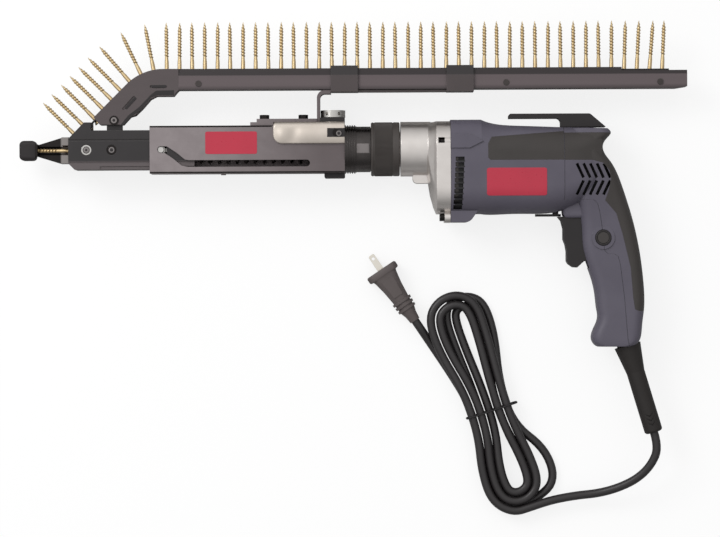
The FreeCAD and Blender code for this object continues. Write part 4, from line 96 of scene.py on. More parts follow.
def add(tree, kind, settings=None, **inputs):
    """Adds a node with settings, which are properties or inputs, and further inputs by name.

    A colour mix has its share at input 0, its two colours at inputs 6 and 7 and its result at output 2.
    """
    made = tree.nodes.new(kind)
    for name, value in (settings or {}).items():
        if isinstance(name, str) and hasattr(made, name):
            setattr(made, name, value)
        else:
            connect(tree, made, {name: value})
    connect(tree, made, inputs)
    return made


ceiling_way = Vector((-0.15, 0.38, 0.91)).normalized()
mirror_share = 0.2
world = bpy.data.worlds.new("white_studio")
world.use_nodes = True
room = world.node_tree
room.nodes.clear()
room_ray = add(room, "ShaderNodeLightPath")
room_way = add(room, "ShaderNodeTexCoord")
toward = add(room, "ShaderNodeVectorMath", {
    "operation": "DOT_PRODUCT", 0: (room_way, "Generated"), 1: ceiling_way,
})
daylight = add(room, "ShaderNodeMapRange", {"To Min": 0.08, "To Max": 0.94}, Value=(toward, "Value"))
mirrored = add(room, "ShaderNodeMath", {
    "operation": "MULTIPLY", 0: (room_ray, "Is Glossy Ray"), 1: mirror_share,
})
whiteness = add(room, "ShaderNodeMath", {
    "operation": "MAXIMUM", 0: (room_ray, "Is Camera Ray"), 1: (mirrored, "Value"),
})
strength = add(room, "ShaderNodeMix", {
    "data_type": "FLOAT", 0: (whiteness, "Value"), 2: (daylight, "Result"), 3: 1.0,
})
surround = add(room, "ShaderNodeBackground", {"Color": (1, 1, 1, 1), "Strength": (strength, 0)})
add(room, "ShaderNodeOutputWorld", Surface=(surround, "Background"))
scene.world = world
lamp_data = bpy.data.lights.new("nose_lamp", "AREA")
lamp_data.energy = 13
lamp_data.size = 0.9
lamp = bpy.data.objects.new("nose_lamp", lamp_data)
lamp.location = (-1.1, 0.9, 1.4)
lamp.rotation_euler = (-lamp.location).to_track_quat("-Z", "Y").to_euler()
scene.collection.objects.link(lamp)


def mesh_object(name, vertices, faces, smooth=False):
    """Object at the origin with its place in its mesh."""
    mesh = bpy.data.meshes.new(name)
    mesh.from_pydata([tuple(v) for v in vertices], [], faces)
    mesh.update()
    made = bpy.data.objects.new(name, mesh)
    scene.collection.objects.link(made)
    for polygon in mesh.polygons:
        polygon.use_smooth = smooth
    return made


table_half = 3.0
table_corners = [(-1, -1), (1, -1), (1, 1), (-1, 1)]
table_points = [(a * table_half, b * table_half, 0) for a, b in table_corners]
table = mesh_object("table_top", table_points, [(0, 1, 2, 3)])
table_glow = 0.8
lighting_tone = (0.62, 0.62, 0.62, 1)
seen_tone = (0.24, 0.24, 0.24, 1)
table_paint = bpy.data.materials.new("white_table_paint")
table_paint.use_nodes = True
paint = table_paint.node_tree
table_ray = add(paint, "ShaderNodeLightPath")
white = add(paint, "ShaderNodeMix", {
    "data_type": "RGBA", 0: (table_ray, "Is Camera Ray"), 6: lighting_tone, 7: seen_tone,
})
backlit = add(paint, "ShaderNodeMath", {
    "operation": "MULTIPLY", 0: (table_ray, "Is Camera Ray"), 1: table_glow,
})
connect(paint, paint.nodes["Principled BSDF"], {
    "Base Color": (white, 2), "Roughness": 0.9, "Specular IOR Level": 0.0,
    "Emission Color": (1, 1, 1, 1), "Emission Strength": (backlit, "Value"),
})
table.data.materials.append(table_paint)


def finish(name, colour, shade, marks_mm, roughness, relief_mm, edge_mm, stretch, metal):
    """Worked surface: cloudy tone, marks stretched along the way they were made, and softened edges.

    Real tool grain is 0.1 to 0.3 mm wide, and brush and blast marks are under 0.1 mm. They are drawn at
    marks_mm, because they wouldn't show otherwise. Gives the material and the node of its edges.
    """
    cloud_size = 0.012 if metal else 0.022
    cloud_detail = 3.0 if metal else 4.0
    marks_detail = 3.0 if metal else 2.0
    relief_strength = 0.5 if metal else 0.6
    smoother = 0.08
    rougher = 0.1
    material = bpy.data.materials.new(name)
    material.use_nodes = True
    tree = material.node_tree
    where = add(tree, "ShaderNodeTexCoord")
    laid = add(tree, "ShaderNodeMapping", {"Scale": stretch}, Vector=(where, "Object"))
    cloud = add(
        tree, "ShaderNodeTexNoise", {"Scale": 1 / cloud_size, "Detail": cloud_detail},
        Vector=(where, "Object") if metal else (laid, "Vector"),
    )
    marks = add(
        tree, "ShaderNodeTexNoise", {"Scale": 1000 / marks_mm, "Detail": marks_detail}, Vector=(laid, "Vector")
    )
    tone = add(tree, "ShaderNodeMix", {
        "data_type": "RGBA", 0: (cloud, "Fac"), 6: linear(colour), 7: linear(shade),
    })
    dull = add(
        tree, "ShaderNodeMapRange", {"To Min": roughness - smoother, "To Max": roughness + rougher},
        Value=(marks, "Fac"),
    )
    edge = add(tree, "ShaderNodeBevel", {"samples": 4, "Radius": edge_mm / 1000})
    relief = add(
        tree, "ShaderNodeBump", {"Strength": relief_strength, "Distance": relief_mm / 1000},
        Height=(marks, "Fac"), Normal=(edge, "Normal"),
    )
    connect(tree, tree.nodes["Principled BSDF"], {
        "Base Color": (tone, 2), "Roughness": (dull, "Result"), "Normal": (relief, "Normal"),
    })
    return material, edge


def overlay(material, share, colour):
    """Mixes another colour over a finish, by a share that is a (node, output) pair."""
    tree = material.node_tree
    shader = tree.nodes["Principled BSDF"]
    below = shader.inputs["Base Color"].links[0].from_node
    mixed = add(tree, "ShaderNodeMix", {"data_type": "RGBA", 0: share, 6: (below, 2), 7: linear(colour)})
    connect(tree, shader, {"Base Color": (mixed, 2)})


# Mains lead: round rubber cord that runs from the strain relief over the table to a tied hank and the plug.
# It is extruded over its cores, which leaves a dull black skin with faint drag lines.
def moulded(
    name, colour, shade, grain_mm, roughness, depth_mm, edge_mm=0.4, rub=0.0, stretch=(1, 1, 1), gloss=0.35,
):
    """Moulded or coated skin with tool grain, and a paler rub along its edges if asked."""
    material, edge = finish(name, colour, shade, grain_mm, roughness, depth_mm, edge_mm, stretch, metal=False)
    tree = material.node_tree
    connect(tree, tree.nodes["Principled BSDF"], {"IOR": 1.5, "Specular IOR Level": gloss})
    if rub:
        face = add(tree, "ShaderNodeNewGeometry")
        bend = add(tree, "ShaderNodeVectorMath", {
            "operation": "DOT_PRODUCT", 0: (edge, "Normal"), 1: (face, "Normal"),
        })
        rubbed = add(
            tree, "ShaderNodeMapRange", {"From Min": 0.99, "From Max": 0.82, "To Max": rub},
            Value=(bend, "Value"),
        )
        overlay(material, (rubbed, "Result"), "#a5a09d")
    return material


# A dull black with a broad soft highlight along each turn. The route's points are those of the CAD's cord.
cord_rubber = moulded("cord_rubber", "#221f20", "#2c2829", 1.2, 0.4, 0.06, gloss=0.55)
cord_diameter = 0.0085
strain_axis = Vector((math.cos(math.radians(-73.3)), math.sin(math.radians(-73.3)), 0))
cord_exit = Vector((0.299212, -0.205082, 0.0345))
hank_middle = Vector((0.138, -0.183447, 0))
hank_way = Vector((0.311, -0.950, 0)).normalized()
hank_side = Vector((-hank_way.y, hank_way.x, 0))
hank_step = 0.0092
hank_waist = 0.0023
hank_fold = 0.0095
hank_top = 0.106
hank_bottom = 0.084
hank_fan = 0.005
hank_loose = 0.015
hank_layer = 0.0092
hank_lift = 0.0023
hank_level = cord_diameter / 2 + 0.0001
hank_turns = 4
turn_stations = 8
hank_last = hank_turns * turn_stations + 2
loose_station = hank_last - 3
reversal = 18


def hank_spot(along, side, height):
    """Place in the hank, from its middle, along it and across it."""
    return hank_middle + hank_way * along + hank_side * side + Vector((0, 0, height))


def hank_station(index):
    """Place and direction of the cord at one of eight stations to a turn, as the cord was wound."""
    phase = index % turn_stations
    grow = abs(index - reversal) / turn_stations * hank_step
    upper = 1 if index < reversal else 0.5 if index == reversal else 0
    fan = hank_fan * (1 - 2 * upper)
    fold = hank_fold + grow
    waist = hank_waist + grow
    height = hank_level + upper * hank_layer + (hank_lift if phase in (2, 6) else 0)
    bottom_run = hank_bottom - fold + grow
    top_run = hank_top - fold + grow
    loose = hank_loose if index == loose_station else 0
    along, side, way = {
        0: (bottom_run + fold, 0, -hank_side),
        1: (bottom_run, -fold, -hank_way),
        2: (0, -waist, -hank_way),
        3: (-top_run, -fold + fan, -hank_way),
        4: (-top_run - fold, fan, hank_side),
        5: (-top_run, fold + fan, hank_way),
        6: (0, waist, hank_way),
        7: (bottom_run, fold + loose, hank_way),
    }[phase]
    return hank_spot(along, side, height), way


def knees(start, start_way, end, end_way):
    """The two corners of the cord's line between two stations, sixteen corners to a turn."""
    chord = end - start
    bend = 2 * (1 - start_way.dot(end_way))
    along = chord.dot(start_way + end_way)
    if bend < 1e-9:
        reach = chord.dot(chord) / (4 * chord.dot(end_way))
    else:
        reach = (-along + math.sqrt(along * along + bend * chord.dot(chord))) / bend
    return [start + start_way * reach, end - end_way * reach]


first_spot, first_way = hank_station(0)
last_spot, last_way = hank_station(hank_last)
plug_way = Vector((-0.557, 0.830, 0)).normalized()
plug_tail = Vector((0.0613, -0.092747, 0.012))
route = [
    cord_exit,
    cord_exit + strain_axis * 0.016,
    Vector((0.297, -0.237447, 0.032)),
    Vector((0.284, -0.251447, 0.027)),
    Vector((0.265, -0.261447, 0.021)),
    Vector((0.244, -0.267447, 0.0155)),
    Vector((0.223, -0.269447, 0.0134)),
    first_spot - first_way * 0.029,
    first_spot - first_way * cord_diameter,
]
for index in range(hank_last):
    route += knees(*hank_station(index), *hank_station(index + 1))
route += [
    last_spot + last_way * (cord_diameter + 0.009),
    hank_spot(-0.033, -0.0236, 0.0048),
    plug_tail - plug_way * 0.054 - Vector((0, 0, 0.0076)),
    plug_tail - plug_way * 0.033 - Vector((0, 0, 0.0076)),
    plug_tail - plug_way * 0.020 - Vector((0, 0, 0.0044)),
    plug_tail - plug_way * 0.009,
    plug_tail,
]
cord_curve = bpy.data.curves.new("mains_lead", "CURVE")
cord_curve.dimensions = "3D"
cord_curve.bevel_depth = cord_diameter / 2
cord_curve.bevel_resolution = 5
cord_curve.resolution_u = 6
spline = cord_curve.splines.new("NURBS")
spline.points.add(len(route) - 1)
for point, spot in zip(spline.points, route):
    point.co = (*spot, 1)
spline.order_u = 3
spline.use_endpoint_u = True
mains_lead = bpy.data.objects.new("mains_lead", cord_curve)
scene.collection.objects.link(mains_lead)
cord_curve.materials.append(cord_rubber)
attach(mains_lead, "tool")
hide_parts("cord_lead", "cord_hank", "cord_tail")


# Plug: two flat plated blades in a rubber grip with a wide flange, a tapered waist and a ribbed neck.
# The grip is moulded over the cord and the blades in one shot.
def rounded_section(half_a, half_b, corner):
    """Points of a rounded rectangle, counter-clockwise. The corners stay apart, so that no point is doubled."""
    steps = 5
    apart = 0.999
    corner = min(corner, half_a * apart, half_b * apart)
    points = []
    for quarter, (sa, sb) in enumerate(((1, 1), (-1, 1), (-1, -1), (1, -1))):
        for k in range(steps + 1):
            angle = math.pi / 2 * (quarter + k / steps)
            points.append((
                sa * (half_a - corner) + corner * math.cos(angle),
                sb * (half_b - corner) + corner * math.sin(angle),
            ))
    return points


def outwards(piece):
    """Turns the faces of a closed skin outwards."""
    fit = bmesh.new()
    fit.from_mesh(piece.data)
    bmesh.ops.recalc_face_normals(fit, faces=fit.faces)
    fit.to_mesh(piece.data)
    fit.free()


def band_faces(rows, count, closed=False):
    """Quads between rings of points, and from the last ring to the first if closed."""
    faces = []
    for row in range(rows if closed else rows - 1):
        here = row * count
        onward = (row + 1) % rows * count
        for k in range(count):
            after = (k + 1) % count
            faces.append((here + k, here + after, onward + after, onward + k))
    return faces


def lofted(name, rings):
    """Closed smooth skin over rings of points, with flat ends."""
    count = len(rings[0])
    faces = band_faces(len(rings), count)
    faces.append(tuple(reversed(range(count))))
    faces.append(tuple(range((len(rings) - 1) * count, len(rings) * count)))
    made = mesh_object(name, [v for ring in rings for v in ring], faces, smooth=True)
    outwards(made)
    return made


def sharpen(piece, degrees=35):
    """Keeps flat faces crisp where a smooth skin turns by more than an angle."""
    fit = bmesh.new()
    fit.from_mesh(piece.data)
    for edge in fit.edges:
        if len(edge.link_faces) == 2 and edge.calc_face_angle() > math.radians(degrees):
            edge.smooth = False
    fit.to_mesh(piece.data)
    fit.free()


plug_length = 0.062
# Along the plug, half its width, half its height, and the radius of its corners.
plug_rows = [
    (0.0000, 0.0052, 0.0052, 0.0050), (0.0080, 0.0062, 0.0068, 0.0060), (0.0135, 0.0080, 0.0084, 0.0070),
    (0.0137, 0.0096, 0.0092, 0.0078), (0.0162, 0.0098, 0.0094, 0.0078), (0.0164, 0.0082, 0.0084, 0.0070),
    (0.0178, 0.0082, 0.0084, 0.0070), (0.0180, 0.0099, 0.0094, 0.0078), (0.0206, 0.0101, 0.0096, 0.0078),
    (0.0208, 0.0084, 0.0086, 0.0070), (0.0222, 0.0084, 0.0086, 0.0070), (0.0224, 0.0102, 0.0096, 0.0078),
    (0.0250, 0.0104, 0.0098, 0.0078), (0.0252, 0.0086, 0.0090, 0.0072), (0.0270, 0.0088, 0.0092, 0.0072),
    (0.0400, 0.0102, 0.0102, 0.0070), (0.0520, 0.0124, 0.0112, 0.0060), (0.0545, 0.0132, 0.0114, 0.0056),
    (0.0552, 0.0160, 0.0117, 0.0060), (0.0562, 0.0168, 0.0119, 0.0064), (0.0606, 0.0169, 0.0119, 0.0064),
    (0.0618, 0.0160, 0.0112, 0.0060), (plug_length, 0.0150, 0.0104, 0.0056),
]
plug_across = Vector((-plug_way.y, plug_way.x, 0))


def plug_spot(along, across, height):
    """Place on the plug, from the end where the cord enters it."""
    return plug_tail + plug_way * along + plug_across * across + Vector((0, 0, height))


plug_grip = lofted("plug_grip", [
    [plug_spot(along, a, b) for a, b in rounded_section(half, tall, corner)]
    for along, half, tall, corner in plug_rows
])
sharpen(plug_grip)
# Warmer and paler than the cord, with a fine matt grain.
plug_rubber = moulded("plug_rubber", "#6a6261", "#574f4e", 0.9, 0.55, 0.05, edge_mm=0.5, rub=0.12)
plug_grip.data.materials.append(plug_rubber)
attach(plug_grip, "tool")
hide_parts("plug_body")
# A raised panel for the fingers on the upper side of the grip.
panel_proud = 0.0005
panel_root = -0.001
panel_corners = [
    (0.0300, 0.0050, 0.0094), (0.0500, 0.0068, 0.0110), (0.0500, -0.0068, 0.0110), (0.0300, -0.0050, 0.0094),
]
plug_panel = lofted("plug_panel", [
    [plug_spot(along, across, height + rise) for along, across, height in panel_corners]
    for rise in (panel_root, panel_proud)
])
sharpen(plug_panel)
plug_panel.data.materials.append(plug_rubber)
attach(plug_panel, "tool")


def plated(name, colour, tint, streak_mm, roughness, along=(1, 1, 1), edge_mm=0.3, relief_mm=0.02):
    """Metal with streaks or blast marks, stretched along the way it was worked."""
    material, _ = finish(name, colour, tint, streak_mm, roughness, relief_mm, edge_mm, along, metal=True)
    tree = material.node_tree
    connect(tree, tree.nodes["Principled BSDF"], {"Metallic": 1.0})
    return material


def dress(material, *names):
    """Gives CAD nodes a finish."""
    for name in names:
        mesh = nodes[name].data
        mesh.materials.clear()
        mesh.materials.append(material)


# Nickel on brass, pale and a little warm; the tie is a black plastic sleeve over a wire.
dress(plated("plated_blade", "#ece8e0", "#ddd6c8", 0.5, 0.3, along=(1, 1, 6)), "plug_blades")
dress(moulded("tie_wire_sleeve", "#1f1d1e", "#282526", 0.6, 0.5, 0.03, edge_mm=0.2), "cord_tie")

# Strain relief: soft rubber boot moulded in one with its tube and pushed into the foot of the handle.
# Slits near its end let it bend with the cord.
dress(moulded("boot_rubber", "#2d2927", "#252221", 0.8, 0.6, 0.05, edge_mm=0.5, rub=0.08), "strain_relief")


# Screw strip: bugle-head drywall screws with a coarse thread, held upright by a plastic band.
# They are cold headed, thread rolled and yellow zinc plated; the last ones at the back lean a little.
screw_length = 0.0535
head_length = 0.0042
head_radius = 0.0041
core_radius = 0.0016
crest_radius = 0.0025
shank_radius = 0.0020
thread_pitch = 0.0030
smooth_shank = 0.0140
point_length = 0.008
tip = -(screw_length - head_length)


def turned(profile, count):
    """Points of rings about X, from places along it and their radii."""
    angles = [math.tau * k / count for k in range(count)]
    return [(x, r * math.cos(angle), r * math.sin(angle)) for x, r in profile for angle in angles]


def screw_vertices():
    """One screw about X, the band's line at 0 and the point towards -X."""
    sides = 10
    profile = [
        (head_length, 0.0), (head_length, head_radius * 0.55), (head_length - 0.0011, head_radius * 0.5),
        (head_length - 0.0004, head_radius * 0.62), (head_length, head_radius * 0.75),
        (head_length, head_radius * 0.96), (head_length - 0.0006, head_radius),
        (head_length - 0.0016, head_radius * 0.82), (head_length - 0.003, head_radius * 0.56),
        (0.0, shank_radius * 1.05), (-smooth_shank + head_length, shank_radius), (-smooth_shank, core_radius),
        (tip + point_length, core_radius), (tip, 0.00012),
    ]
    vertices = turned(profile, sides)
    faces = [(a, d, c, b) for a, b, c, d in band_faces(len(profile), sides)]
    # The thread is rooted a little inside the core, and its crest gets lower towards the point.
    steps = 9
    flank = thread_pitch * 0.32
    inset = 0.92
    tip_core = 0.02
    tip_crest = 0.3
    tip_gap = 0.001
    start = -smooth_shank + head_length * 0.4
    total = int((start - tip - tip_gap) / thread_pitch * steps)
    for k in range(total + 1):
        x = start - thread_pitch * k / steps
        left = min(1.0, (x - tip) / point_length)
        lead_in = min(1.0, k / steps)
        core = core_radius * min(1.0, left + tip_core) * inset
        crest = core + (crest_radius - core_radius) * (tip_crest + (1 - tip_crest) * left) * lead_in
        angle = math.tau * k / steps
        for dx, r in ((flank, core), (0, crest), (-flank, core)):
            vertices.append((x + dx, r * math.cos(angle), r * math.sin(angle)))
        if k:
            a = len(vertices) - 6
            faces.append((a, a + 1, a + 4, a + 3))
            faces.append((a + 1, a + 2, a + 5, a + 4))
    return vertices, faces


strip_pitch = 12.7
first_screw = 2.2
wheel_x = -312.632
wheel_teeth = 8
wheel_reach = strip_pitch * wheel_teeth / math.tau
rail_level = 78.6
rail_bend = 50.0
slope_foot = -335.5
slope_turn = math.pi / 4
rail_corner = rail_level + slope_foot


def strip_spot(along):
    """Place on the band's line and the turn of a screw there, in degrees.

    The band goes up a slope, round a bend and along the rail.
    """
    half = math.sqrt(0.5)
    bend_reach = rail_bend * math.tan(slope_turn / 2)
    slope_start = Vector((wheel_x - wheel_reach * half, wheel_reach * half))
    slope_end = Vector((rail_corner - bend_reach * half, rail_level - bend_reach * half))
    slope = (slope_end - slope_start).length
    bend = rail_bend * slope_turn
    along -= wheel_reach * slope_turn
    if along < slope:
        return (*slope_start.lerp(slope_end, along / slope), math.degrees(slope_turn))
    along -= slope
    if along < bend:
        angle = along / rail_bend + slope_turn
        x = rail_corner + bend_reach - rail_bend * math.cos(angle)
        return x, rail_level - rail_bend + rail_bend * math.sin(angle), math.degrees(angle)
    return rail_corner + bend_reach + along - bend, rail_level, 90


# From the drive axis at the collar, in millimetres, to the part's own origin.
row_shift = Vector((47.0, 79.053, 34.5))
screw_count = 49
screw_points = []
screw_turns = []
back_leans = {46: 2, 47: 3, 48: 4, 49: 3}
wobble_size = 0.5
wobble_step = 2.4
for index in range(1, screw_count + 1):
    x, y, turn = strip_spot(strip_pitch * index + first_screw)
    wobble = wobble_size * math.sin(index * wobble_step)
    screw_points.append((Vector((x, y, 0)) + row_shift) / 1000)
    screw_turns.append(-math.radians(turn + wobble + back_leans.get(index, 0)))
screw_tool = mesh_object("screw_pattern", *screw_vertices(), smooth=True)
sharpen(screw_tool, 50)
screw_row = mesh_object("screw_row", screw_points, [])
turn_layer = screw_row.data.attributes.new("turn", "FLOAT_VECTOR", "POINT")
for item, turn in zip(turn_layer.data, screw_turns):
    item.vector = (0.0, 0.0, turn)
# Straw yellow with a brown cast in places, as the chromate took.
yellow_zinc = plated("yellow_zinc", "#e6d3aa", "#c9ad80", 0.8, 0.46, edge_mm=0.12)


def node_tree(name, **inputs):
    """Geometry Nodes tree from places to a made mesh, with its input node and its other sockets by name."""
    tree = bpy.data.node_groups.new(name, "GeometryNodeTree")
    tree.interface.new_socket("Places", in_out="INPUT", socket_type="NodeSocketGeometry")
    sockets = [
        tree.interface.new_socket(label, in_out="INPUT", socket_type="NodeSocket" + kind)
        for label, kind in inputs.items()
    ]
    tree.interface.new_socket("Made", in_out="OUTPUT", socket_type="NodeSocketGeometry")
    return tree, add(tree, "NodeGroupInput"), sockets


def end_tree(tree, start, instances):
    """Makes a tree's instances real, gives them its finish and puts them out."""
    real = add(tree, "GeometryNodeRealizeInstances", Geometry=(instances, "Instances"))
    coated = add(tree, "GeometryNodeSetMaterial", Geometry=(real, "Geometry"), Material=(start, "Finish"))
    add(tree, "NodeGroupOutput", Made=(coated, "Geometry"))


row_tree, row_in, (screw_socket, finish_socket) = node_tree(
    "screws_in_band", Screw="Object", Finish="Material"
)
screw_info = add(row_tree, "GeometryNodeObjectInfo", Object=(row_in, "Screw"))
turn_read = add(row_tree, "GeometryNodeInputNamedAttribute", {"data_type": "FLOAT_VECTOR", "Name": "turn"})
turn_as = add(row_tree, "FunctionNodeEulerToRotation", Euler=(turn_read, "Attribute"))
screws_on = add(
    row_tree, "GeometryNodeInstanceOnPoints", Points=(row_in, "Places"), Instance=(screw_info, "Geometry"),
    Rotation=(turn_as, "Rotation"),
)
end_tree(row_tree, row_in, screws_on)


def plain_mesh(name, source, tree, inputs):
    """Runs a node tree on an object and keeps the result as a plain mesh object."""
    modifier = source.modifiers.new("build", "NODES")
    modifier.node_group = tree
    for socket, value in inputs:
        modifier[socket.identifier] = value
    depsgraph = bpy.context.evaluated_depsgraph_get()
    mesh = bpy.data.meshes.new_from_object(source.evaluated_get(depsgraph))
    source.modifiers.remove(modifier)
    bpy.data.objects.remove(source)
    made = bpy.data.objects.new(name, mesh)
    scene.collection.objects.link(made)
    return made


band_screws = plain_mesh(
    "band_screws", screw_row, row_tree, [(screw_socket, screw_tool), (finish_socket, yellow_zinc)]
)
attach(band_screws, "carriage")
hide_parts("collated_screws")
nose_screw_x = -328.802
nose_screw = bpy.data.objects.new("nose_screw", screw_tool.data)
scene.collection.objects.link(nose_screw)
bpy.data.objects.remove(screw_tool)
nose_screw.data.transform(Matrix.Translation((Vector((nose_screw_x, 0, 0)) + row_shift) / 1000))
nose_screw.data.materials.append(yellow_zinc)
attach(nose_screw, "spindle_set")
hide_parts("drive_screw")
# Black band with the soft shine of polypropylene.
dress(moulded("band_polypropylene", "#232122", "#2e2b2c", 0.7, 0.42, 0.03, edge_mm=0.2), "screw_strip")

# Nose: rubber foot on a blackened steel fork, which two black socket screws hold in the slide body.
# The slide body is moulded in glass-filled nylon and carries the sprocket on two bright stub axles.
dress(moulded("nose_rubber", "#231f20", "#2d292a", 0.7, 0.6, 0.05, edge_mm=1.2), "nose_bumper")
# Oiled black with brushed marks along the tool.
black_steel = plated("black_oxide_steel", "#33302f", "#242222", 1.5, 0.4, along=(0.2, 1, 1))
dress(black_steel, "nosepiece_screws", "rear_block", "casing_screws", "clamp_screws")


def banded(material, axis, start, end, colour, amount):
    """Fades a finish to another colour along an axis of the part, between two places."""
    tree = material.node_tree
    where = add(tree, "ShaderNodeTexCoord")
    axes = add(tree, "ShaderNodeSeparateXYZ", Vector=(where, "Object"))
    fade = add(
        tree, "ShaderNodeMapRange", {"From Min": start, "From Max": end, "To Max": amount}, Value=(axes, axis)
    )
    overlay(material, (fade, "Result"), colour)


# The slide's lower bevel is painted paler grey, as painted light on the chamfer.
bevel_high = 0.0684
bevel_low = 0.0672
slide_nylon = moulded("rubbed_and_lit_nylon", "#363334", "#2b2829", 0.8, 0.45, 0.04, edge_mm=0.8, rub=0.2)
# Painted light on the lower bevel.
banded(slide_nylon, "Y", bevel_high, bevel_low, "#655d5e", 0.9)
dress(slide_nylon, "slide_body")
# The fork is the same black, paler grey where it enters the slide body.
pale_band_from = -0.2935
pale_band_full = -0.2920
fork_steel = plated("pale_banded_black_steel", "#33302f", "#242222", 1.5, 0.4, along=(0.2, 1, 1))
banded(fork_steel, "X", pale_band_from, pale_band_full, "#8d8886", 0.9)
dress(fork_steel, "nosepiece")
# Deep black-brown with a slight orange-peel skin, rubbed paler at the corners by the work.
glass_nylon = moulded("glass_filled_nylon", "#2c2829", "#242122", 0.8, 0.46, 0.05, edge_mm=0.6, rub=0.14)
dress(glass_nylon, "rear_foot", "saddle_clip", "bracket_base", "reverse_lever", "belt_hook")
# Bright zinc with fine turning marks.
bright_steel = plated("zinc_plated_steel", "#cfcdca", "#bdbab6", 0.6, 0.28)
dress(
    bright_steel, "sprocket_axles", "feed_lever", "feed_sprocket", "clamp_nut", "spindle",
    "spindle_gear", "bearings", "armature_shaft", "drive_bit",
)

# Feed housing and rail: folded and extruded metal under a satin dark grey coat, held by small screws.
# The coat shows the draw lines of the metal, which run along the rail.
# The housing's bluing is painted darker from the mouth towards the rear, as painted shade that copies the fall
# of the lamp's reflection.
painted_shade_start = -0.15
painted_shade_full = -0.03
housing_steel = plated(
    "blued_sheet_steel", "#989091", "#847c7d", 1.2, 0.46, along=(0.05, 1, 1), edge_mm=0.5, relief_mm=0.03,
)
dress(housing_steel, "feed_housing", "rail_bracket", "top_plate")
# Painted shade: the housing darkens towards the rear.
banded(housing_steel, "X", painted_shade_start, painted_shade_full, "#635b5c", 0.8)
guide_coat = moulded(
    "satin_grey_coat", "#5f5657", "#4f4748", 0.9, 0.44, 0.03, edge_mm=0.5, rub=0.2, stretch=(0.3, 1, 1),
)
dress(guide_coat, "rail_front_guide")
# The rail's upper lip and lower edge are painted near black as painted shade, and the face between them keeps
# the grey coat.
lip_low = 0.1524
lip_high = 0.1534
edge_high = 0.1430
edge_low = 0.1386
rail_coat = moulded(
    "drawn_rail_coat", "#6e6365", "#574d4f", 1.4, 0.42, 0.05, rub=0.2, stretch=(0.02, 1, 1),
)
# Painted shade on the upper lip and along the lower edge, by height on the rail.
banded(rail_coat, "Y", lip_low, lip_high, "#2a2526", 0.9)
banded(rail_coat, "Y", edge_high, edge_low, "#332d2e", 0.8)
dress(rail_coat, "feed_rail")
# The carriers are black nylon with a soft gloss, painted darker where they wrap over the lip, as painted shade.
carrier_nylon = moulded(
    "carrier_nylon", "#4f4546", "#423a3a", 0.8, 0.4, 0.04, edge_mm=0.8, rub=0.2, gloss=0.5,
)
# Painted shade over the lip.
banded(carrier_nylon, "Y", lip_low, lip_high, "#231f20", 0.9)
dress(carrier_nylon, "rail_carrier")
dress(plated("dark_zinc_screw", "#55504f", "#403c3b", 0.6, 0.4), "rail_screws")


def surface_of(name):
    """Gives a function for the height of a CAD node's upper surface at a place."""
    above = 0.2
    mesh = nodes[name].data
    tree = BVHTree.FromPolygons([v.co for v in mesh.vertices], [p.vertices[:] for p in mesh.polygons])

    def level(x, y):
        hit = tree.ray_cast(Vector((x, y, above)), Vector((0, 0, -1)))[0]
        return hit.z if hit else 0.0

    return level


def plate_skin(name, corners, level, material, corner, columns=26, rows=14):
    """Thin plate between two corners with rounded corners; level(x, y) is the height of its upper face."""
    low, high = corners
    half_x = abs(high.x - low.x) / 2
    half_y = abs(high.y - low.y) / 2
    plate_middle = (low + high) / 2
    under = 0.0006
    vertices = []
    faces = []
    for drop in (0, under):
        for i in range(columns + 1):
            for j in range(rows + 1):
                x = half_x * (2 * i / columns - 1)
                y = half_y * (2 * j / rows - 1)
                over_x = abs(x) - (half_x - corner)
                over_y = abs(y) - (half_y - corner)
                if over_x > 0 and over_y > 0 and math.hypot(over_x, over_y) > corner:
                    pull = corner / math.hypot(over_x, over_y)
                    x = math.copysign(half_x - corner + over_x * pull, x)
                    y = math.copysign(half_y - corner + over_y * pull, y)
                x += plate_middle.x
                y += plate_middle.y
                vertices.append((x, y, level(x, y) - drop))
    side = (columns + 1) * (rows + 1)
    for i in range(columns):
        for j in range(rows):
            a = i * (rows + 1) + j
            quad = (a, a + rows + 1, a + rows + 2, a + 1)
            faces.append(quad)
            faces.append(tuple(side + k for k in reversed(quad)))
    rim = [i * (rows + 1) for i in range(columns + 1)]
    rim += [columns * (rows + 1) + j for j in range(1, rows + 1)]
    rim += [i * (rows + 1) + rows for i in range(columns - 1, -1, -1)]
    rim += list(range(rows - 1, 0, -1))
    for a, b in zip(rim, rim[1:] + rim[:1]):
        faces.append((b, a, side + a, side + b))
    made = mesh_object(name, vertices, faces, smooth=True)
    sharpen(made)
    made.data.materials.append(material)
    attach(made, "tool")


# Labels: plain red printed film, glued on the housing and on the casing.
# Its lacquer gives a soft shine over a slightly uneven red.
red_film = moulded("red_printed_film", "#cb3049", "#be2b43", 2.5, 0.3, 0.01, edge_mm=0.2, gloss=0.5)
film_thickness = 0.00025
housing_face = 0.0545
housing_level = surface_of("feed_housing")
housing_corners = (photo_spot(205.3, 154.1, housing_face), photo_spot(256.9, 131.4, housing_face))
plate_skin(
    "housing_plate", housing_corners, lambda x, y: housing_level(x, y) + film_thickness, red_film,
    corner=0.0015,
)

# Return spring: a coil of round steel wire between the slide and the rear block, seen through the cam slot.
# It is wound cold and left bright, and it shortens as the slide is pushed in.
spring_coil = mesh_object("spring_coil", [], [])
spring_mesh = bmesh.new()
spring_mesh.from_mesh(nodes["return_spring"].data)
bmesh.ops.remove_doubles(spring_mesh, verts=spring_mesh.verts, dist=1e-6)
spring_mesh.to_mesh(spring_coil.data)
spring_mesh.free()
spring_coil.data.materials.append(bright_steel)
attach(spring_coil, "tool")
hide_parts("return_spring")
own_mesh(spring_coil)
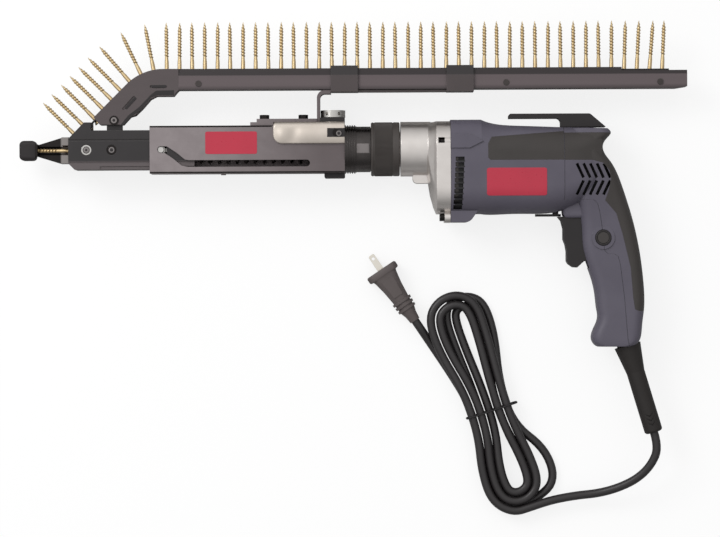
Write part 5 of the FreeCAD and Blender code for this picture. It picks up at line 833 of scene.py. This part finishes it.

# Housing edges: the sheet is folded over along both sides of the housing.
# Each fold is drawn as a thin dark strip of painted shade.
rim_proud = 0.0001
rim_front = -0.2022
for rim_name, rim_end, rim_low, rim_high in (
    ("housing_rim_upper", -0.0810, 0.1010, 0.1026), ("housing_rim_lower", -0.0090, 0.0555, 0.0569),
):
    rim_corners = (Vector((rim_front, rim_low, 0)), Vector((rim_end, rim_high, 0)))
    # Painted shade along the housing's edges.
    plate_skin(
        rim_name, rim_corners, lambda x, y: housing_face + rim_proud, black_steel,
        corner=0.0003, columns=8, rows=2,
    )

# Front guide: the shade in its two lightening slots and along the inside of its bend is painted. They are thin
# black fills, flush with the grey coat.
guide_face = 0.045
shade_fill_face = guide_face + 0.0002
bend_shade_depth = 0.0005
slot_depth = 0.0006
slot_half = Vector((0.0078, 0.0014))


def guide_shade_fill(name, outline, depth):
    """Thin black fill of painted shade in the face of the front guide."""
    fill = lofted(name, [
        [Vector((point.x, point.y, shade_fill_face - drop)) for point in outline] for drop in (depth, 0)
    ])
    sharpen(fill)
    fill.data.materials.append(glass_nylon)
    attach(fill, "carriage")


# Painted shade in the slots.
for slot_number, (across, down, lean) in enumerate(((159.0, 86.4, 0), (130.6, 103.2, 47)), 1):
    spot = photo_spot(across, down, guide_face)
    way = Vector((math.cos(math.radians(lean)), math.sin(math.radians(lean)), 0))
    cross = Vector((-way.y, way.x, 0))
    outline = [spot + way * a + cross * b for a, b in rounded_section(slot_half.x, slot_half.y, slot_half.y)]
    guide_shade_fill("guide_slot_%d" % slot_number, outline, slot_depth)
# Painted shade along the inside of the bend.
bend_shade_upper = [(119.5, 126.0), (128.0, 115.5), (139.0, 107.0), (150.4, 95.0), (156.0, 90.6), (174.0, 90.2)]
bend_shade_lower = [(174.0, 95.2), (157.0, 95.2), (151.0, 97.4), (139.0, 111.6), (133.5, 115.0), (124.0, 124.6)]
bend_shade = [photo_spot(across, down, shade_fill_face) for across, down in bend_shade_upper + bend_shade_lower]
guide_shade_fill("guide_channel", bend_shade, bend_shade_depth)

# Clamp saddle: nickel-plated pressing bent round the housing, crowned, with a dip near its front.
# A black clip with a socket screw holds its rear end. The brushing gives it a soft warm shine.
brushed_nickel = plated(
    "brushed_nickel", "#d6cdc4", "#c4bab0", 0.5, 0.46, along=(1, 0.15, 1), edge_mm=1.5, relief_mm=0.03,
)
strap_front = -126.5
strap_length = 71.0
strap_low = 5.5
strap_top = 27.1
strap_half = 23.4
strap_wall = 3.3
strap_corner = 5.0
strap_crown = 1.5
front_round = 8.5
web_round = 2.8
dip_along = 20.0
dip_reach = 6.0
dip_share = 0.85


def rounded_in(reach, radius):
    """How far a rounded corner has drawn back at a distance from the end."""
    left = max(0.0, radius - reach)
    return radius - math.sqrt(radius * radius - left * left)


def strap_ring(along):
    """The strap's section at a distance from its front end: outer face round to inner face."""
    low = strap_low + rounded_in(along, front_round)
    top = strap_top - rounded_in(along, web_round)
    shoulder = top - strap_corner
    dip = dip_share * math.exp(-((along - dip_along) / dip_reach) ** 2)
    swell = strap_crown * min(1.0, along / front_round) * (1 - dip)
    steps = 12
    turn_steps = 6
    face = []
    for k in range(steps + 1):
        share = k / steps
        face.append((low + (shoulder - low) * share, strap_half + swell * (1 - (2 * share - 1) ** 2)))
    turn = []
    for k in range(1, turn_steps + 1):
        angle = math.pi / 2 * k / turn_steps
        turn.append((
            shoulder + strap_corner * math.sin(angle), strap_half - strap_corner * (1 - math.cos(angle)),
        ))
    back = [(y, -z) for y, z in reversed(turn)] + [(shoulder, -strap_half), (low, -strap_half)]
    inner = strap_half - strap_wall
    bore = strap_top - strap_wall
    section = face + turn + back + [(low, -inner), (bore, -inner), (bore, inner), (low, inner)]
    return [(Vector((strap_front + along, y, z)) + row_shift) / 1000 for y, z in section]


strap_stations = [0, 0.3, 0.8, 1.5, 2.3, 3.3, 4.5, 6, 8, 10]
strap_stations += [12 + 2 * k for k in range(29)] + [strap_length]
saddle_strap = lofted("saddle_strap", [strap_ring(along) for along in strap_stations])
sharpen(saddle_strap, 50)
saddle_strap.data.materials.append(brushed_nickel)
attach(saddle_strap, "tool")
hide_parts("clamp_saddle")

# Screw faces: the heads of the pins and screws show a turned ring and a hex socket.
# They are turned flush; the black in their sockets is painted shade, and the fork screw's grey ring is a
# painted highlight.
face_tree, face_in, (sides_socket, depth_socket, disc_socket) = node_tree(
    "discs_on_heads", Sides="Int", Depth="Float", Finish="Material"
)
disc = add(
    face_tree, "GeometryNodeMeshCylinder", {"Radius": 1.0}, Vertices=(face_in, "Sides"),
    Depth=(face_in, "Depth"),
)
reach_read = add(face_tree, "GeometryNodeInputNamedAttribute", {"data_type": "FLOAT_VECTOR", "Name": "reach"})
discs_on = add(
    face_tree, "GeometryNodeInstanceOnPoints", Points=(face_in, "Places"), Instance=(disc, "Mesh"),
    Scale=(reach_read, "Attribute"),
)
end_tree(face_tree, face_in, discs_on)
disc_depth = 0.0004


def screw_faces(name, body, sides, material, places):
    """Discs at (x, y, height of the face, radius) in millimetres on a body."""
    spots = [Vector((x, y, height)) / 1000 - Vector((0, 0, disc_depth / 2)) for x, y, height, _ in places]
    seeds = mesh_object(name + "_seeds", spots, [])
    layer = seeds.data.attributes.new("reach", "FLOAT_VECTOR", "POINT")
    for item, (_, _, _, radius) in zip(layer.data, places):
        item.vector = (radius / 1000, radius / 1000, 1.0)
    made = plain_mesh(name, seeds, face_tree, [
        (sides_socket, sides), (depth_socket, disc_depth), (disc_socket, material),
    ])
    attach(made, body)


# Bare machined steel, mid grey with fine tool marks.
flat_steel = plated("milled_steel", "#8c8786", "#7a7574", 0.4, 0.34, along=(1, 0.2, 1))
axle_at = (-265.63, 79.05)
fork_screw_at = (-240.50, 79.05)
pivot_at = (-238.50, 108.80)
pin_face = 52.06
pivot_face = 46.0
clip_face = 61.2
clip_screw_at = photo_spot(338.8, 133.2, clip_face / 1000).xy * 1000
screw_faces("axle_shadow", "carriage", 24, glass_nylon, [(*axle_at, pin_face, 3.6)])
# The ring on the fork screw is a painted highlight of its edge; the axle's and the pivot's are their turned
# faces.
screw_faces("pin_rings", "carriage", 24, flat_steel, [
    (*axle_at, pin_face + 0.02, 2.9), (*fork_screw_at, pin_face, 2.9), (*pivot_at, pivot_face + 0.2, 3.0),
])
screw_faces("pivot_ring", "carriage", 24, black_steel, [(*pivot_at, pivot_face, 4.5)])
# Painted shade in the sockets.
screw_faces("pin_sockets", "carriage", 6, glass_nylon, [
    (*axle_at, pin_face + 0.04, 1.3), (*fork_screw_at, pin_face + 0.04, 1.9),
    (*pivot_at, pivot_face + 0.3, 1.6),
])
screw_faces("clip_ring", "tool", 20, flat_steel, [(*clip_screw_at, clip_face, 2.7)])
# Painted shade in the clip screw's socket.
screw_faces("clip_socket", "tool", 6, glass_nylon, [(*clip_screw_at, clip_face + 0.1, 1.7)])

# Depth collar: turned steel ring, phosphated dark and knurled for the fingers, on the threaded adapter.
# The adapter is turned from bar, blackened and polished by use.
polished_black = plated("polished_black_steel", "#5a5655", "#3d3a39", 1.2, 0.26, along=(1, 0.2, 0.2))
dress(polished_black, "threaded_adapter")
# A flat for the wrench is milled on it; its light grey is a painted highlight, laid on as a thin steel plate.
adapter_level = surface_of("threaded_adapter")
flat_height = 0.058
flat_proud = 0.0001
flat_corners = (photo_spot(356.8, 152.8, flat_height), photo_spot(370.6, 143.4, flat_height))
# Painted highlight on the wrench flat.
plate_skin(
    "wrench_flat", flat_corners, lambda x, y: adapter_level(x, y) + flat_proud, flat_steel,
    corner=0.0004, columns=8, rows=8,
)
collar_start = -29.5
collar_length = 28.6
collar_radius = 27.4
collar_bore = 21.65
# Along the collar, and how far the skin lies outside its radius.
collar_rows = [
    (0.0, -4.6), (0.0, -1.4), (1.0, -0.5), (2.2, -0.5), (2.8, -0.9), (collar_length - 6.6, -0.9),
    (collar_length - 6.0, -0.4), (collar_length - 1.0, -0.4), (collar_length, -1.2), (collar_length, -4.6),
    (collar_length, collar_bore - collar_radius), (0.0, collar_bore - collar_radius),
]
collar_sides = 96
collar_profile = [(collar_start + x, collar_radius + rise) for x, rise in collar_rows]
collar_skin = [(Vector(spot) + row_shift) / 1000 for spot in turned(collar_profile, collar_sides)]
collar_faces = band_faces(len(collar_rows), collar_sides, closed=True)
collar_body = mesh_object("collar_body", collar_skin, collar_faces, smooth=True)
outwards(collar_body)
sharpen(collar_body, 30)
# Dull grey-black with turning marks round the ring.
collar_steel = moulded(
    "phosphated_steel", "#4a4441", "#3b3633", 0.9, 0.46, 0.03, rub=0.1, stretch=(1, 0.3, 0.3), gloss=0.5,
)
collar_body.data.materials.append(collar_steel)
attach(collar_body, "collar")
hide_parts("depth_collar")

# Knurl: straight ridges rolled round the middle of the collar for a firm hold.
# Real ones stand 0.8 mm apart. They are drawn 1.2 mm apart, so that they show.
knurl_count = 140
knurl_margins = 10.4
knurl_end_margin = 7.0
knurl_floor = 0.9
knurl_depth = 0.5
ridge_share = 0.7
ridge_long = (collar_length - knurl_margins) / 1000
ridge_half = math.pi * collar_radius / knurl_count / 1000 * ridge_share
ridge = mesh_object(
    "knurl_ridge",
    [
        (0, -ridge_half, 0), (0, ridge_half, 0), (ridge_long, ridge_half, 0), (ridge_long, -ridge_half, 0),
        (ridge_half, 0, knurl_depth / 1000), (ridge_long - ridge_half, 0, knurl_depth / 1000),
    ],
    [(0, 1, 2, 3), (0, 4, 1), (2, 5, 3), (1, 4, 5, 2), (3, 5, 4, 0)],
)
knurl_tree, knurl_in, (ridge_socket, count_socket, reach_socket, steel_socket) = node_tree(
    "ridges_round_collar", Ridge="Object", Count="Int", Radius="Float", Finish="Material"
)
ridge_info = add(knurl_tree, "GeometryNodeObjectInfo", Object=(knurl_in, "Ridge"))
ring_of = add(knurl_tree, "GeometryNodeMeshCircle", Vertices=(knurl_in, "Count"), Radius=(knurl_in, "Radius"))
order = add(knurl_tree, "GeometryNodeInputIndex")
share = add(knurl_tree, "ShaderNodeMath", {
    "operation": "DIVIDE", 0: (order, "Index"), 1: (knurl_in, "Count"),
})
angle_of = add(knurl_tree, "ShaderNodeMath", {"operation": "MULTIPLY", 0: (share, "Value"), 1: math.tau})
spin_of = add(knurl_tree, "ShaderNodeCombineXYZ", Z=(angle_of, "Value"))
stand = add(knurl_tree, "FunctionNodeEulerToRotation", Euler=(spin_of, "Vector"))
lay_ridge = add(
    knurl_tree, "GeometryNodeTransform", {"Rotation": (0, math.pi / 2, 0)}, Geometry=(ridge_info, "Geometry")
)
ridges_on = add(
    knurl_tree, "GeometryNodeInstanceOnPoints", Points=(ring_of, "Mesh"), Instance=(lay_ridge, "Geometry"),
    Rotation=(stand, "Rotation"),
)
end_tree(knurl_tree, knurl_in, ridges_on)
knurl_seed = mesh_object("knurl_seed", [(0, 0, 0)], [])
knurl = plain_mesh("collar_knurl", knurl_seed, knurl_tree, [
    (ridge_socket, ridge), (count_socket, knurl_count), (reach_socket, (collar_radius - knurl_floor) / 1000),
    (steel_socket, collar_steel),
])
bpy.data.objects.remove(ridge)
# The ring is made about Z; it is turned to stand about the drive axis.
knurl_end = (Vector((collar_start + collar_length - knurl_end_margin, 0, 0)) + row_shift) / 1000
knurl.data.transform(Matrix.Translation(knurl_end) @ Matrix.Rotation(math.pi / 2, 4, "Y"))
outwards(knurl)
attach(knurl, "collar")

# Gear case: die-cast aluminium, bead blasted, bolted to the motor housing with black socket screws.
# The blasting leaves a soft silver grain with broad highlights.
blasted = plated("blasted_aluminium", "#e3deda", "#d3cdc9", 0.45, 0.32, edge_mm=0.8, relief_mm=0.05)
dress(blasted, "gear_case")
dress(plated("sooty_aluminium", "#5c5957", "#4a4745", 0.6, 0.5), "bearing_plate")

# Casing: two blue-grey shells in glass-filled nylon with a fine spark-eroded grain.
# The darker grips are rubber, moulded over the shells.
casing_nylon = moulded("casing_nylon", "#67636f", "#5b5763", 0.7, 0.46, 0.05, edge_mm=0.8, rub=0.1)
dress(casing_nylon, "motor_housing", "rear_cover")
# Dull warm black that takes no sharp highlight.
soft_grip = moulded(
    "overmoulded_grip", "#403b39", "#363230", 1.1, 0.52, 0.12, edge_mm=0.6, rub=0.06, gloss=0.5,
)
dress(soft_grip, "rear_grip", "side_grips")
trigger_nylon = moulded("trigger_nylon", "#2c2829", "#221f20", 0.8, 0.4, 0.04, edge_mm=2.2, rub=0.1)
dress(trigger_nylon, "trigger", "lock_button")
casing_level = surface_of("motor_housing")
casing_face = 0.067
casing_corners = (photo_spot(486.9, 195.6, casing_face), photo_spot(547.0, 167.5, casing_face))
plate_skin(
    "casing_plate", casing_corners, lambda x, y: casing_level(x, y) + film_thickness, red_film,
    corner=0.0020,
)

# Rear vent shade: a dark nylon sheet across the casing behind the rear vents, as painted shade that makes the
# vents look dark.
rear_shade_level = 0.0345
rear_shade_corners = (photo_spot(571, 200, rear_shade_level), photo_spot(608.5, 161, rear_shade_level))
motor_nylon = moulded("motor_nylon", "#2b2a2b", "#232223", 0.8, 0.5, 0.04)
# Painted shade behind the rear vents.
plate_skin(
    "vent_baffle", rear_shade_corners, lambda x, y: rear_shade_level, motor_nylon,
    corner=0.003, columns=4, rows=4,
)

# Root: the casing's wall between barrel and handle, over the trigger. It is moulded with the shell.
# The lever and the trigger keep their room in front of it and under it.
root_half = 15.0
root_round = 4.0
root_back = Vector((240.0, 26.0))
root_front = 208.4
root_low = 11.4
skirt_half = 11.3
skirt_low = 9.4
root_corner = ((0.0, 6.0), (0.3, 3.4), (1.3, 1.2), (3.6, 0.0))
root_rings = []
for side in (-15, -14.8, -14, -13, -12, -11.4, -11.2, -6, 0, 6, 11.2, 11.4, 12, 13, 14, 14.8, 15):
    past = max(0.0, abs(side) - (root_half - root_round))
    drawn = root_round - math.sqrt(root_round * root_round - past * past)
    low = (skirt_low if abs(side) > skirt_half else root_low) + drawn
    front = root_front + drawn
    section = [(front, root_back.y)] + [(front + back, low + up) for back, up in root_corner]
    section += [(root_back.x, low), tuple(root_back)]
    root_rings.append([Vector((x, y, row_shift.z + side)) / 1000 for x, y in section])
handle_root = lofted("handle_root", root_rings)
sharpen(handle_root, 60)
handle_root.data.materials.append(casing_nylon)
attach(handle_root, "tool")

# Button face: the lock button's lighter middle, inside its darker nylon rim, is a painted highlight of its
# domed top. It lies flush with the rim.
button_at = (248.0, -10.45)
button_face = 54.14
# Painted highlight on the button's middle.
screw_faces("lock_dish", "lock_key", 40, soft_grip, [(*button_at, button_face, 5.6)])

# Front vent shade: a black sheet inside the front vents, between the fan and the shell. It is painted shade
# that makes the vents look dark.
front_shade_corners = (Vector((0.0995, 0.0150, 0)), Vector((0.1150, 0.0770, 0)))
front_shade_depth = 0.0042
vent_side = 0.1200
# Painted shade inside the front vents.
plate_skin(
    "fan_screen", front_shade_corners, lambda x, y: casing_level(vent_side, y) - front_shade_depth, motor_nylon,
    corner=0.0005, columns=2, rows=24,
)

# Vent bars: the bars between the front slots are painted black as part of the same painted shade, and show
# flush with the shell.
# They lean with the slots, towards the gear case at the bottom.
bar_pitch = 5.43
bar_half = 0.8
bar_length = 8.4
bar_lean = 0.24
bar_level = 0.0665
bar_proud = 0.0001
bars_left = 456.9
bars_down = 155.6
bar_count = 9
for bar in range(1, bar_count + 1):
    bar_left = bars_left - bar_lean * bar
    bar_down = bars_down + bar_pitch * bar
    bar_corners = (
        photo_spot(bar_left, bar_down + bar_half, bar_level),
        photo_spot(bar_left + bar_length, bar_down - bar_half, bar_level),
    )
    # Painted shade on the bars between the front slots.
    plate_skin(
        "vent_bar_%d" % bar, bar_corners, lambda x, y: casing_level(vent_side, y) + bar_proud, motor_nylon,
        corner=0.0002, columns=2, rows=2,
    )

# Motor: laminated iron core with enamelled copper windings, a nylon fan and carbon brushes in nylon holders.
# They show only through the vents.
laminated_iron = plated("laminated_iron", "#57544f", "#45423e", 0.4, 0.5, along=(4, 0.4, 0.4))
dress(laminated_iron, "armature_core", "field_core")
enamelled_copper = plated("enamelled_copper", "#b8754a", "#a5633c", 0.5, 0.35)
dress(enamelled_copper, "armature_winding", "field_coils", "commutator")
dress(motor_nylon, "cooling_fan", "brush_holders", "switch_module")
dress(moulded("pressed_carbon", "#1c1b1b", "#262424", 0.4, 0.7, 0.03, edge_mm=0.2), "carbon_brushes")
